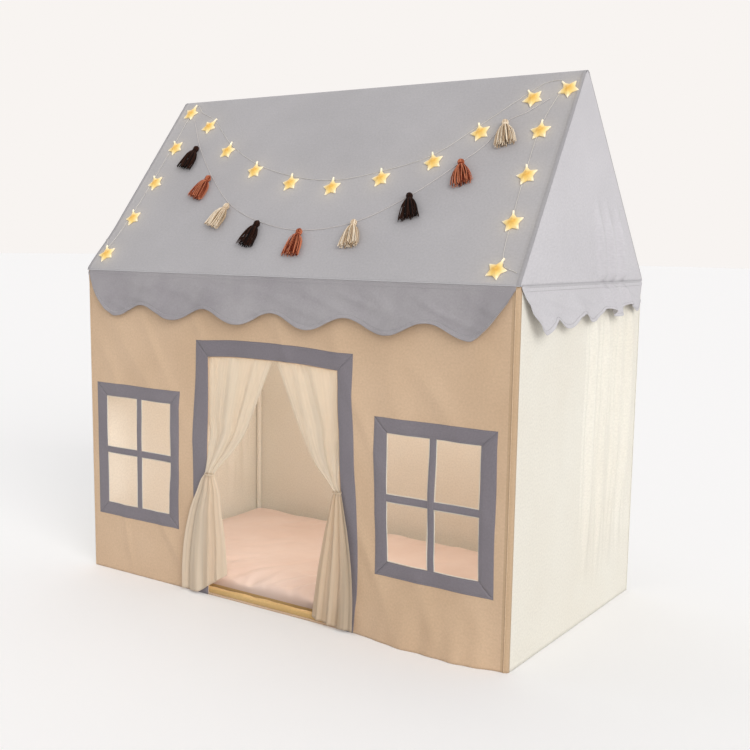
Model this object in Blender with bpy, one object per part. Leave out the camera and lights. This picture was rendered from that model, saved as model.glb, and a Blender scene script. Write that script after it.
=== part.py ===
"""A child's indoor play tent: a sewn canvas cover on a plug-together frame of plastic tubes.

Metres, +Z up, the door towards -Y. The origin is on the floor under the middle of the tent.
"""

import math

import bmesh
import bpy
from mathutils import Matrix, Vector

# The cover's outer size
TENT_WIDTH = 1.300
TENT_DEPTH = 0.708
EAVE_HEIGHT = 0.830
RIDGE_HEIGHT = 1.3156
GABLE_LEAN = 0.023

# Cloth, and the clearance that touching pieces keep
CLOTH = 0.0012
GAP = 0.0003
HEM_LIFT = 0.0005

# Frame tubes and their plug-in corner pieces
POLE_RADIUS = 0.008
POLE_WALL = 0.0015
POLE_SIDES = 12
FOOT_LIFT = 0.0015
COLLAR_LENGTH = 0.020
SPIGOT_LENGTH = 0.028
SPIGOT_PLAY = 0.0005
HUB_SIDES = 10
ARM_TWIST = 0.11

# Door and windows, set out from the door's centre line
DOOR_SHIFT = -0.010
DOOR_WIDTH = 0.416
DOOR_HEAD = 0.620
DOOR_TRIM = 0.042
SILL_HEIGHT = 0.015
WINDOW_WIDTH = 0.237
WINDOW_HEIGHT = 0.298
WINDOW_BASE = 0.191
WINDOW_OUTSET = 0.013
WINDOW_TRIM = 0.035
MUNTIN = 0.017

# Scalloped valances round the eaves
FRONT_LOBES = 6
SIDE_LOBES = 5
FRONT_DROP = 0.1185
SIDE_DROP_NEAR = 0.108
SIDE_DROP_FAR = 0.082
SCALLOP_RISE = 0.033
LOBE_ROUND = 2.2
END_TAPER = 0.095
END_ROUND = 1.3
END_DEPTH = 0.006
END_MARGIN = 0.0055
FLARE_ROUND = 1.3
FRONT_FLARE = 0.0165
SIDE_FLARE_NEAR = 0.028
SIDE_FLARE_FAR = 0.010
VALANCE_WAVE = 0.0045

# Side walls
SIDE_FOLD_DEPTH = 0.0035
SIDE_FOLDS = 7
SIDE_FOLDS_CROWD = 1.2
SIDE_FOLDS_NEAR_DOOR = 0.3

# Voile curtains, tied back to the door's jambs
VOILE = 0.0010
CURTAIN_FOLDS = 5
CURTAIN_FOLD_DEPTH = 0.0058
CURTAIN_TUCK = 0.012
CURTAIN_BEHIND = 0.0081
TIE_OUT = 0.0095
TAIL_OUT = 0.0125
TIE_HEIGHT_LEFT = 0.322
TIE_HEIGHT_RIGHT = 0.334
TAIL_HEM = 0.006
HEM_LIFT_SPREAD = 1.6

# Padded floor mat
MAT_SIDE = 0.038
MAT_CROWN = 0.018
MAT_PLAY = 0.0005
MAT_DRAW_IN = 0.004
MAT_EDGE_ROUND = 0.7

# Star light string, with its battery case on the left gable
WIRE_RADIUS = 0.00075
WIRE_TURN_LEFT = (-0.852, 0.915)
WIRE_TURN_RIGHT = (0.862, 0.942)
WIRE_END = (0.975, 0.045)
ROUTE_STEP = 0.047
STAR_RADIUS = 0.029
STAR_HOLD = 0.025
STAR_NOTCH = 0.47
STAR_EDGE = 0.0030
STAR_PEAK = 0.0060
CASE_LENGTH = 0.070
CASE_HEIGHT = 0.050
CASE_DEPTH = 0.0155
CASE_ROUND = 0.003
CASE_ABOVE_EAVE = 0.076
CASE_FROM_MIDDLE = 0.190
LID_DEPTH = 0.0018
LID_LENGTH = 0.050
LID_MARGIN = 0.003
SLOT_LENGTH = 0.009
SLOT_HEIGHT = 0.004
SLOT_DEPTH = 0.0015
KNOB_LENGTH = 0.0052
KNOB_PROUD = 0.0020

# Tassel garland
GARLAND_RADIUS = 0.00075
TASSEL_DROP = 0.0045
TASSEL_LENGTH = 0.080
TASSEL_HOLLOW = 0.004
TASSEL_HEAD = 0.0085
TASSEL_NECK = 0.0062
TASSEL_HEM = 0.027
TASSEL_FLAT = 0.34
TASSEL_STEM = 0.0008
TASSEL_FLUTE = 0.90
TASSEL_SIDES = 12

# Followed from the sizes above
CORNER = POLE_RADIUS + GAP + CLOTH
HALF_WIDTH = TENT_WIDTH / 2
HALF_RIDGE = HALF_WIDTH - GABLE_LEAN
HALF_DEPTH = TENT_DEPTH / 2
POST_X = HALF_WIDTH - CORNER
POST_Y = HALF_DEPTH - CORNER
RIDGE_X = HALF_RIDGE - CORNER
RIDGE_Z = RIDGE_HEIGHT - CORNER
BASE_Z = POLE_RADIUS + FOOT_LIFT
WALL_TOP = EAVE_HEIGHT - GAP
SLOPE = math.atan2(RIDGE_Z - EAVE_HEIGHT, POST_Y)
SLOPE_LENGTH = math.hypot(RIDGE_Z - EAVE_HEIGHT, POST_Y)
ROOF_REACH = SLOPE_LENGTH + CORNER
TRIM_FACE = HALF_DEPTH + GAP + CLOTH
VALANCE_TOP = EAVE_HEIGHT - HEM_LIFT
MERGE = 0.00001

# Star places as shares: across the roof from its middle, up the slope from the eave, and the
# turn of the upper tip in degrees, positive towards the right rake
LEFT_RAKE_STARS = [(-0.941, 0.077, -30), (-0.917, 0.283, -29), (-0.902, 0.488, -38),
                   (-0.899, 0.699, -37), (-0.925, 0.916, 12)]
SWAG_STARS = [(-0.764, 0.823, 29), (-0.575, 0.667, 2), (-0.361, 0.545, -11),
              (-0.139, 0.470, -13), (0.077, 0.441, -12), (0.291, 0.482, -18),
              (0.494, 0.560, -23), (0.648, 0.702, -25), (0.820, 0.860, -37)]
RIGHT_RAKE_STARS = [(0.953, 0.896, -44), (0.893, 0.692, -7), (0.898, 0.477, -18),
                    (0.902, 0.261, -13), (0.899, 0.052, 18)]
STARS = LEFT_RAKE_STARS + SWAG_STARS + RIGHT_RAKE_STARS

# The garland's ends and its bends by the last tassel in the same shares, and its nine tassels:
# place on the cord, lean in degrees from straight down the slope, and yarn
GARLAND_START = (-0.879, 0.870)
GARLAND_BEND_BELOW = (0.688, 0.642)
GARLAND_BEND_ABOVE = (0.815, 0.795)
GARLAND_END = (0.889, 0.856)
TASSELS = [(-0.750, 0.696, -11, "dark"), (-0.583, 0.517, -14, "rust"),
           (-0.396, 0.356, -18, "cream"), (-0.193, 0.263, -7, "dark"),
           (0.032, 0.222, 1, "rust"), (0.263, 0.268, 9, "cream"),
           (0.455, 0.398, 19, "dark"), (0.617, 0.560, 21, "rust"),
           (0.742, 0.751, 18, "cream")]

# Upper curtain, from head to tie: share of the drop, inner edge and outer edge as shares of
# the half door, share of the way out from behind the wall to the tie, share of the fold depth
CURTAIN_STATIONS = [(0.00, 0.020, 1.040, 0.00, 1.00), (0.15, 0.120, 1.040, 0.00, 1.00),
                    (0.35, 0.250, 1.040, 0.00, 1.00), (0.53, 0.370, 1.040, 0.00, 1.00),
                    (0.62, 0.440, 0.983, 0.00, 1.00), (0.78, 0.590, 0.983, 0.40, 0.85),
                    (0.94, 0.800, 0.983, 0.94, 0.70), (1.00, 0.850, 1.040, 1.00, 0.65)]

# Tails below the ties: share of the drop, inner and outer edge as shares of the half door,
# share of the way out from the tie to the hem, share of the fold depth
LEFT_TAIL = [(0.00, 0.850, 1.040, 0.00, 0.65), (0.12, 0.790, 1.120, 0.17, 0.80),
             (0.30, 0.745, 1.240, 0.50, 1.00), (0.52, 0.690, 1.330, 0.83, 1.10),
             (0.76, 0.660, 1.375, 1.00, 1.15), (1.00, 0.650, 1.390, 1.00, 1.15)]
RIGHT_TAIL = [(0.00, 0.850, 1.040, 0.00, 0.65), (0.12, 0.820, 1.110, 0.17, 0.80),
              (0.30, 0.790, 1.165, 0.50, 1.00), (0.52, 0.760, 1.220, 0.83, 1.10),
              (0.76, 0.710, 1.250, 1.00, 1.15), (1.00, 0.655, 1.245, 1.00, 1.15)]
LEFT_HEM_LIFT = 0.062
RIGHT_HEM_LIFT = 0.012


def linear(hex_colour):
    """An sRGB hex colour as a linear RGBA tuple."""
    channels = [int(hex_colour[i:i + 2], 16) / 255 for i in (1, 3, 5)]
    return tuple(c / 12.92 if c <= 0.04045 else ((c + 0.055) / 1.055) ** 2.4
                 for c in channels) + (1.0,)


def make_material(name, hex_colour, roughness, metallic=0.0):
    material = bpy.data.materials.new(name)
    material.use_nodes = True
    shader = material.node_tree.nodes["Principled BSDF"]
    shader.inputs["Base Color"].default_value = linear(hex_colour)
    shader.inputs["Roughness"].default_value = roughness
    shader.inputs["Metallic"].default_value = metallic
    material.diffuse_color = linear(hex_colour)
    return material


def add_mesh(name, mesh, material, smooth=False):
    """A mesh as a named object with its material."""
    mesh.materials.clear()
    mesh.materials.append(material)
    if smooth:
        mesh.shade_smooth()
        mesh.set_sharp_from_angle(angle=math.radians(40))
    part = bpy.data.objects.new(name, mesh)
    bpy.context.scene.collection.objects.link(part)
    return part


def face_outwards(bm):
    """Makes a closed solid's faces agree and point out, thin folded sheets too."""
    bmesh.ops.recalc_face_normals(bm, faces=bm.faces)
    if bm.calc_volume(signed=True) < 0:
        bmesh.ops.reverse_faces(bm, faces=bm.faces)


def add_bmesh(name, bm, material, smooth=False):
    face_outwards(bm)
    mesh = bpy.data.meshes.new(name)
    bm.to_mesh(mesh)
    bm.free()
    return add_mesh(name, mesh, material, smooth)


def united(solids):
    """One closed mesh from several overlapping bmeshes or meshes."""
    pieces = []
    for number, solid in enumerate(solids):
        mesh = solid
        if isinstance(solid, bmesh.types.BMesh):
            face_outwards(solid)
            mesh = bpy.data.meshes.new(f"solid_{number}")
            solid.to_mesh(mesh)
            solid.free()
        pieces.append(bpy.data.objects.new(f"solid_{number}", mesh))
        bpy.context.scene.collection.objects.link(pieces[-1])
    for other in pieces[1:]:
        union = pieces[0].modifiers.new("union", "BOOLEAN")
        union.operation = "UNION"
        union.object = other
    depsgraph = bpy.context.evaluated_depsgraph_get()
    result = bpy.data.meshes.new_from_object(pieces[0].evaluated_get(depsgraph))
    for piece in pieces:
        bpy.data.objects.remove(piece, do_unlink=True)
    return result


def turned(profile, sides, ring=False):
    """A solid turned about Z from (radius, height) points; a ring's profile closes on itself."""
    bm = bmesh.new()
    verts = [bm.verts.new((radius, 0.0, height)) for radius, height in profile]
    ends = list(zip(verts, verts[1:]))
    if ring:
        ends.append((verts[-1], verts[0]))
    edges = [bm.edges.new(pair) for pair in ends]
    bmesh.ops.spin(bm, geom=verts + edges, cent=(0, 0, 0), axis=(0, 0, 1),
                   angle=2 * math.pi, steps=sides, use_merge=True)
    bmesh.ops.remove_doubles(bm, verts=bm.verts, dist=MERGE)
    return bm


def aimed(bm, start, direction, twist=0.0):
    """Turns a solid's +Z along a direction and moves its origin to a start point."""
    turn = direction.to_track_quat("Z", "Y").to_matrix().to_4x4() @ Matrix.Rotation(twist, 4, "Z")
    bmesh.ops.transform(bm, matrix=Matrix.Translation(start) @ turn, verts=bm.verts)
    return bm


def thick_sheet(columns, rows, point, inward, keep=None):
    """A grid of cloth cells given a thickness; keep says which cells are cloth."""
    bm = bmesh.new()
    grid = [[bm.verts.new(point(column, row)) for row in rows] for column in columns]
    for i in range(len(columns) - 1):
        for j in range(len(rows) - 1):
            if keep is None or keep(i, j):
                bm.faces.new((grid[i][j], grid[i + 1][j], grid[i + 1][j + 1], grid[i][j + 1]))
    loose = [vert for vert in bm.verts if not vert.link_faces]
    bmesh.ops.delete(bm, geom=loose, context="VERTS")
    pulled = bmesh.ops.extrude_face_region(bm, geom=bm.faces[:])
    for item in pulled["geom"]:
        if isinstance(item, bmesh.types.BMVert):
            item.co += inward(item.co)
    return bm


def spaced(start, end, count):
    """Evenly spaced values with both ends."""
    return [start + (end - start) * i / count for i in range(count + 1)]


def between(low, high, share):
    return low + (high - low) * share


def half_length(height):
    """Half the roof's length at a height: the gables lean in towards the ridge."""
    share = (height - EAVE_HEIGHT) / (RIDGE_HEIGHT - EAVE_HEIGHT)
    return between(HALF_WIDTH, HALF_RIDGE, share)


def slope_point(up, lift):
    """Y and Z on the front slope, a distance up from the eave and lifted off the cloth."""
    reach = CORNER + lift
    y = -POST_Y + up * math.cos(SLOPE) - reach * math.sin(SLOPE)
    z = EAVE_HEIGHT + up * math.sin(SLOPE) + reach * math.cos(SLOPE)
    return y, z


def roof_place(across, up_share, lift):
    """A point over the front slope from its shares across and up."""
    y, z = slope_point(up_share * ROOF_REACH, lift)
    return Vector((across * half_length(z), y, z))


ROOF_UP = Vector((0.0, math.cos(SLOPE), math.sin(SLOPE)))
ROOF_OUT = Vector((0.0, -math.sin(SLOPE), math.cos(SLOPE)))


def make_frame(pole_material, connector_material):
    """Seventeen tubes, and ten connectors whose spigots plug into them."""
    joints = {}
    for end, y in (("front", -POST_Y), ("back", POST_Y)):
        for side, x in (("left", -POST_X), ("right", POST_X)):
            joints[f"foot_connector_{end}_{side}"] = Vector((x, y, BASE_Z))
            joints[f"eave_connector_{end}_{side}"] = Vector((x, y, EAVE_HEIGHT))
    for side, x in (("left", -RIDGE_X), ("right", RIDGE_X)):
        joints[f"ridge_connector_{side}"] = Vector((x, 0.0, RIDGE_Z))

    poles = [("ridge_pole", "ridge_connector_left", "ridge_connector_right")]
    for level, rail in (("foot", "base_rail"), ("eave", "eave_rail")):
        for end in ("front", "back"):
            poles.append((f"{rail}_{end}", f"{level}_connector_{end}_left",
                          f"{level}_connector_{end}_right"))
        for side in ("left", "right"):
            poles.append((f"{rail}_{side}", f"{level}_connector_front_{side}",
                          f"{level}_connector_back_{side}"))
    for end in ("front", "back"):
        for side in ("left", "right"):
            eave = f"eave_connector_{end}_{side}"
            poles.append((f"post_{end}_{side}", f"foot_connector_{end}_{side}", eave))
            poles.append((f"rafter_{end}_{side}", eave, f"ridge_connector_{side}"))

    arms = {name: [] for name in joints}
    for name, first, second in poles:
        span = joints[second] - joints[first]
        direction = span.normalized()
        arms[first].append(direction)
        arms[second].append(-direction)
        length = span.length - 2 * (COLLAR_LENGTH + GAP)
        inner = POLE_RADIUS - POLE_WALL
        profile = [(inner, 0.0), (POLE_RADIUS, 0.0), (POLE_RADIUS, length), (inner, length)]
        start = joints[first] + direction * (COLLAR_LENGTH + GAP)
        tube = aimed(turned(profile, POLE_SIDES, ring=True), start, direction)
        add_bmesh(name, tube, pole_material, smooth=True)

    spigot = POLE_RADIUS - POLE_WALL - SPIGOT_PLAY
    reach = COLLAR_LENGTH + SPIGOT_LENGTH
    for name, directions in arms.items():
        solids = []
        for number, direction in enumerate(sorted(directions, key=lambda d: -d.z)):
            stands = name.startswith("foot") and direction.z > 0.5
            back = -BASE_Z if stands else 0.0
            profile = [(0.0, back), (POLE_RADIUS, back), (POLE_RADIUS, COLLAR_LENGTH),
                       (spigot, COLLAR_LENGTH), (spigot, reach), (0.0, reach)]
            solids.append(aimed(turned(profile, POLE_SIDES), joints[name], direction,
                                ARM_TWIST * number))
        hub = bmesh.new()
        bmesh.ops.create_uvsphere(hub, u_segments=HUB_SIDES, v_segments=HUB_SIDES // 2,
                                  radius=POLE_RADIUS)
        solids.append(aimed(hub, joints[name], Vector((0.2, 0.1, 1.0)), ARM_TWIST))
        add_mesh(name, united(solids), connector_material, smooth=True)


def wall_outward(place):
    """The walls' outward direction in plan, turning round the corner posts."""
    core_x = max(-POST_X, min(POST_X, place.x))
    core_y = max(-POST_Y, min(POST_Y, place.y))
    return Vector((place.x - core_x, place.y - core_y, 0.0)).normalized()


def wall_inward(place):
    return -CLOTH * wall_outward(place)


def wall_plan(cuts, sign):
    """Plan points of the front (sign -1) or back wall, round both corner posts."""
    arc = [math.radians(angle) for angle in (0, 30, 60, 90)]
    left = [(-POST_X - CORNER * math.cos(a), sign * (POST_Y + CORNER * math.sin(a)))
            for a in arc]
    right = [(-x, y) for x, y in reversed(left)]
    return left + [(x, sign * HALF_DEPTH) for x in cuts] + right


def window_centre(side):
    """Middle of a window, between the door's trim and the corner; side is -1 or 1."""
    door_edge = DOOR_SHIFT + side * (DOOR_WIDTH / 2 + DOOR_TRIM)
    return (door_edge + side * HALF_WIDTH) / 2 + side * WINDOW_OUTSET


def make_walls(material):
    """Front wall with its door and two window openings, plain back wall, two folded sides."""
    door = (DOOR_SHIFT - DOOR_WIDTH / 2, DOOR_SHIFT + DOOR_WIDTH / 2, SILL_HEIGHT, DOOR_HEAD)
    openings = [door]
    for side in (-1, 1):
        middle = window_centre(side)
        openings.append((middle - WINDOW_WIDTH / 2, middle + WINDOW_WIDTH / 2,
                         WINDOW_BASE, WINDOW_BASE + WINDOW_HEIGHT))
    cuts = sorted(edge for opening in openings for edge in opening[:2])
    heights = {HEM_LIFT, WALL_TOP}
    heights.update(edge for opening in openings for edge in opening[2:])
    rows = sorted(heights)
    columns = wall_plan(cuts, -1)

    def cloth_here(i, j):
        x = (columns[i][0] + columns[i + 1][0]) / 2
        z = (rows[j] + rows[j + 1]) / 2
        return not any(o[0] < x < o[1] and o[2] < z < o[3] for o in openings)

    def at(column, height):
        return Vector((column[0], column[1], height))

    add_bmesh("front_wall", thick_sheet(columns, rows, at, wall_inward, cloth_here), material)
    back = thick_sheet(wall_plan([], 1), [HEM_LIFT, WALL_TOP], at, wall_inward)
    add_bmesh("back_wall", back, material)

    for name, side in (("left_wall", -1), ("right_wall", 1)):
        def folded(along, up, side=side):
            held = math.sqrt(max(0.0, math.sin(math.pi * along) * math.sin(math.pi * up)))
            swell = between(SIDE_FOLDS_NEAR_DOOR, 1.0, along) * held
            turns = SIDE_FOLDS * along ** SIDE_FOLDS_CROWD
            fold = SIDE_FOLD_DEPTH * swell * math.sin(2 * math.pi * turns)
            y = between(-POST_Y + GAP, POST_Y - GAP, along)
            return Vector((side * (HALF_WIDTH + fold), y, between(HEM_LIFT, WALL_TOP, up)))

        sheet = thick_sheet(spaced(0, 1, 4 * SIDE_FOLDS - 4), [0, 0.12, 0.88, 1], folded,
                            lambda place, side=side: Vector((-side * CLOTH, 0, 0)))
        add_bmesh(name, sheet, material, smooth=True)


def arc_points(centre_y, centre_z, radius, first, last, steps):
    """Points of an arc in the YZ plane, angles in degrees from +Y towards +Z."""
    return [(centre_y + radius * math.cos(math.radians(angle)),
             centre_z + radius * math.sin(math.radians(angle)))
            for angle in spaced(first, last, steps)]


def roof_section(radius):
    """The roof's cross section at a distance from the frame's centre lines, front to back."""
    tilt = math.degrees(SLOPE)
    return (arc_points(-POST_Y, EAVE_HEIGHT, radius, 180, 90 + tilt, 2)
            + arc_points(0.0, RIDGE_Z, radius, 90 + tilt, 90 - tilt, 6)
            + arc_points(POST_Y, EAVE_HEIGHT, radius, 90 - tilt, 0, 2))


def roof_inward(place):
    """Towards the frame's centre lines, square to the slopes and radial at ridge and eaves."""
    eave = Vector((0.0, -POST_Y, EAVE_HEIGHT))
    folded = Vector((0.0, -abs(place.y), place.z))
    along = max(0.0, min(SLOPE_LENGTH, (folded - eave).dot(ROOF_UP)))
    inward = (eave + ROOF_UP * along - folded).normalized() * CLOTH
    return Vector((0.0, inward.y if place.y <= 0 else -inward.y, inward.z))


def make_roof(material):
    """One roof cloth over ridge and eaves, and a gable under each end of it."""
    def at(side, section):
        return Vector((side * half_length(section[1]), section[0], section[1]))

    sheet = thick_sheet([-1, 1], roof_section(CORNER), at, roof_inward)
    add_bmesh("roof_cover", sheet, material)

    outline = roof_section(POLE_RADIUS)
    for name, side in (("left_gable", -1), ("right_gable", 1)):
        bm = bmesh.new()
        face = bm.faces.new([bm.verts.new(at(side, section)) for section in outline])
        pulled = bmesh.ops.extrude_face_region(bm, geom=[face])
        verts = [item for item in pulled["geom"] if isinstance(item, bmesh.types.BMVert)]
        bmesh.ops.translate(bm, vec=(-side * CLOTH, 0, 0), verts=verts)
        add_bmesh(name, bm, material)


def scallop(along, half, lobes, drop):
    """How far a valance hangs at a place along it; the end lobes taper up to the corner."""
    low = half - END_TAPER
    past = (abs(along) - low) / END_TAPER
    if past > 0:
        taper = max(0.0, 1 - past ** END_ROUND) ** (1 / END_ROUND)
        return max(END_DEPTH, drop * taper)
    step = 2 * low / (lobes - 1)
    wave = abs(math.sin(math.pi * (along + low) / step)) ** LOBE_ROUND
    return drop - SCALLOP_RISE * wave


def make_valances(material):
    """A hanging scalloped strip along each eave; its top edge is the line it lifts about."""
    for name, sign in (("front_valance", -1), ("back_valance", 1)):
        half = HALF_WIDTH - CORNER

        def hung(along, down, sign=sign, half=half):
            x = along * half
            depth = down * scallop(x, half, FRONT_LOBES, FRONT_DROP)
            sway = math.cos(math.pi * (x / half * (FRONT_LOBES - 1)))
            out = GAP + down ** FLARE_ROUND * (FRONT_FLARE - VALANCE_WAVE * sway)
            return Vector((x, sign * (HALF_DEPTH + out), VALANCE_TOP - depth))

        sheet = thick_sheet(spaced(-1, 1, 8 * FRONT_LOBES), [0, 0.45, 1], hung,
                            lambda place, sign=sign: Vector((0, sign * CLOTH, 0)))
        add_bmesh(name, sheet, material, smooth=True)

    for name, side in (("left_valance", -1), ("right_valance", 1)):
        half = HALF_DEPTH - END_MARGIN

        def hung(along, down, side=side, half=half):
            y = along * half
            share = (along + 1) / 2
            drop = between(SIDE_DROP_NEAR, SIDE_DROP_FAR, share)
            depth = down * scallop(y, half, SIDE_LOBES, drop)
            sway = math.cos(math.pi * (along * (SIDE_LOBES - 1) + 1))
            flare = between(SIDE_FLARE_NEAR, SIDE_FLARE_FAR, share)
            out = GAP + down ** FLARE_ROUND * (flare + VALANCE_WAVE * sway)
            return Vector((side * (HALF_WIDTH + out), y, VALANCE_TOP - depth))

        sheet = thick_sheet(spaced(-1, 1, 8 * SIDE_LOBES), [0, 0.45, 1], hung,
                            lambda place, side=side: Vector((side * CLOTH, 0, 0)))
        add_bmesh(name, sheet, material, smooth=True)


def make_trims(material):
    """Flat bands sewn round the door and the windows, the windows with crossed bars."""
    def at(x, z):
        return Vector((x, -TRIM_FACE, z))

    def inward(place):
        return Vector((0, CLOTH, 0))

    half = DOOR_WIDTH / 2
    columns = [DOOR_SHIFT - half - DOOR_TRIM, DOOR_SHIFT - half, DOOR_SHIFT + half,
               DOOR_SHIFT + half + DOOR_TRIM]
    rows = [HEM_LIFT, DOOR_HEAD, DOOR_HEAD + DOOR_TRIM]
    band = thick_sheet(columns, rows, at, inward, lambda i, j: (i, j) != (1, 0))
    add_bmesh("door_trim", band, material)

    for name, side in (("left_window_trim", -1), ("right_window_trim", 1)):
        x = window_centre(side)
        z = WINDOW_BASE + WINDOW_HEIGHT / 2
        edges = []
        for middle, size in ((x, WINDOW_WIDTH), (z, WINDOW_HEIGHT)):
            edges.append([middle - size / 2 - WINDOW_TRIM, middle - size / 2,
                          middle - MUNTIN / 2, middle + MUNTIN / 2, middle + size / 2,
                          middle + size / 2 + WINDOW_TRIM])
        band = thick_sheet(edges[0], edges[1], at, inward,
                           lambda i, j: i in (0, 2, 4) or j in (0, 2, 4))
        add_bmesh(name, band, material)


def pleated(side, stations, fronts, heights, hem_lift):
    """Voile between two heights, pleated across, with its inner lower corner lifted."""
    def at(across, station):
        drop, inner, outer, way_out, depth = station
        front = between(*fronts, way_out)
        x = DOOR_SHIFT + side * DOOR_WIDTH / 2 * between(inner, outer, across)
        fold = CURTAIN_FOLD_DEPTH * depth * math.cos(2 * math.pi * CURTAIN_FOLDS * across)
        lift = hem_lift * drop ** 3 * max(0.0, 1 - HEM_LIFT_SPREAD * across)
        z = between(*heights, drop) + lift
        return Vector((x, -HALF_DEPTH - front + fold - VOILE / 2, z))

    return thick_sheet(spaced(0, 1, 4 * CURTAIN_FOLDS), stations, at,
                       lambda place: Vector((0, VOILE, 0)))


def make_curtains(material):
    """A pair sewn behind the door's head and tied to the jambs, with loose tails."""
    top = DOOR_HEAD + CURTAIN_TUCK
    for name, side, tie, tail, hem_lift in (
            ("left", -1, TIE_HEIGHT_LEFT, LEFT_TAIL, LEFT_HEM_LIFT),
            ("right", 1, TIE_HEIGHT_RIGHT, RIGHT_TAIL, RIGHT_HEM_LIFT)):
        upper = pleated(side, CURTAIN_STATIONS, (-CURTAIN_BEHIND, TIE_OUT), (top, tie), 0.0)
        add_bmesh(f"{name}_curtain", upper, material, smooth=True)
        lower = pleated(side, tail, (TIE_OUT, TAIL_OUT), (tie - GAP, TAIL_HEM), hem_lift)
        add_bmesh(f"{name}_curtain_tail", lower, material, smooth=True)


def make_mat(material):
    """A padded mat that fills the floor between the base rails, crowned and drawn in."""
    half_x = POST_X - POLE_RADIUS - MAT_PLAY
    half_y = POST_Y - POLE_RADIUS - MAT_PLAY

    def at(u, v):
        x = half_x * u - MAT_DRAW_IN * u * (1 - v * v)
        y = half_y * v - MAT_DRAW_IN * v * (1 - u * u)
        crown = (1 - u ** 8) * (1 - v ** 6)
        return Vector((x, y, MAT_SIDE + MAT_CROWN * crown ** MAT_EDGE_ROUND))

    columns = [-1, -0.97, -0.9, -0.7, -0.35, 0, 0.35, 0.7, 0.9, 0.97, 1]
    rows = [-1, -0.94, -0.82, -0.5, 0, 0.5, 0.82, 0.94, 1]
    sheet = thick_sheet(columns, rows, at, lambda place: Vector((0, 0, -place.z)))
    add_bmesh("floor_mat", sheet, material, smooth=True)


def smooth_route(points, step):
    """Points of a smooth curve through the chosen ones; short spans keep their ends alone."""
    padded = [2 * points[0] - points[1]] + points + [2 * points[-1] - points[-2]]
    route = []
    for a, b, c, d in zip(padded, padded[1:], padded[2:], padded[3:]):
        cuts = max(1, round((c - b).length / step))
        for cut in range(cuts):
            t = cut / cuts
            route.append(0.5 * (2 * b + (c - a) * t + (2 * a - 5 * b + 4 * c - d) * t * t
                                + (3 * b - a - 3 * c + d) * t ** 3))
    return route + [points[-1]]


def cord_curve(name, route, radius):
    """A filled round tube along a route."""
    curve = bpy.data.curves.new(name, "CURVE")
    curve.dimensions = "3D"
    curve.bevel_depth = radius
    curve.bevel_resolution = 2
    curve.use_fill_caps = True
    spline = curve.splines.new("POLY")
    spline.points.add(len(route) - 1)
    for point, place in zip(spline.points, route):
        point.co = (*place, 1.0)
    return curve


def star_tip(star, reach):
    """A point on the line from a star's middle through its upper tip, at the wire's lift."""
    across, up, turn = star
    middle = roof_place(across, up, GAP + WIRE_RADIUS)
    angle = math.radians(turn)
    return middle + reach * (math.sin(angle) * Vector((1, 0, 0)) + math.cos(angle) * ROOF_UP)


def star_solid(star):
    """A five-pointed light cover: flat back, short edge, faceted front."""
    across, up, turn = star
    bm = bmesh.new()
    ring = []
    for number in range(10):
        radius = STAR_RADIUS * (STAR_NOTCH if number % 2 else 1.0)
        angle = math.radians(turn + 36 * number)
        ring.append(bm.verts.new((radius * math.sin(angle), radius * math.cos(angle), 0.0)))
    base = bm.faces.new(ring)
    pulled = bmesh.ops.extrude_face_region(bm, geom=[base])
    verts = [item for item in pulled["geom"] if isinstance(item, bmesh.types.BMVert)]
    bmesh.ops.translate(bm, vec=(0, 0, STAR_EDGE), verts=verts)
    front = [item for item in pulled["geom"] if isinstance(item, bmesh.types.BMFace)]
    face_outwards(bm)
    bmesh.ops.poke(bm, faces=front, offset=STAR_PEAK)
    middle = roof_place(across, up, GAP)
    frame = Matrix((Vector((1, 0, 0)), ROOF_UP, ROOF_OUT)).transposed().to_4x4()
    bmesh.ops.transform(bm, matrix=Matrix.Translation(middle) @ frame, verts=bm.verts)
    return bm


def gable_place(y, height, lift):
    """A point off the left gable at a height over the eave."""
    z = EAVE_HEIGHT + height
    return Vector((-half_length(z) - lift, y, z))


def make_light_string(material):
    """A wire from the battery case up the left rake, across in a swag and down the right."""
    lift = GAP + WIRE_RADIUS
    case_end = -CASE_FROM_MIDDLE - CASE_LENGTH / 2 - GAP
    edge_share = CASE_ABOVE_EAVE / (RIDGE_Z - EAVE_HEIGHT)
    over_edge = roof_place(-1.0, edge_share, 0.0)
    bend = 8 * WIRE_RADIUS
    route = [gable_place(case_end, CASE_ABOVE_EAVE, lift),
             gable_place(case_end - 2 * bend, CASE_ABOVE_EAVE, lift),
             gable_place(over_edge.y + 2 * bend, CASE_ABOVE_EAVE, lift),
             over_edge + 2 * WIRE_RADIUS * (ROOF_OUT + Vector((-1, 0, 0))),
             over_edge + Vector((bend, 0, 0)) + lift * ROOF_OUT]
    for star in LEFT_RAKE_STARS:
        route.append(star_tip(star, STAR_HOLD))
    route.append(roof_place(*WIRE_TURN_LEFT, lift))
    for star in SWAG_STARS:
        route.append(star_tip(star, STAR_HOLD))
    route.append(roof_place(*WIRE_TURN_RIGHT, lift))
    for star in RIGHT_RAKE_STARS:
        route.append(star_tip(star, STAR_HOLD))
    route.append(roof_place(*WIRE_END, lift))
    wire = cord_curve("light_wire", smooth_route(route, ROUTE_STEP), WIRE_RADIUS)
    holder = bpy.data.objects.new("light_wire", wire)
    bpy.context.scene.collection.objects.link(holder)
    depsgraph = bpy.context.evaluated_depsgraph_get()
    wire_mesh = bpy.data.meshes.new_from_object(holder.evaluated_get(depsgraph))
    bpy.data.objects.remove(holder, do_unlink=True)
    add_mesh("light_string", united([wire_mesh] + [star_solid(s) for s in STARS]), material)


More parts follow.
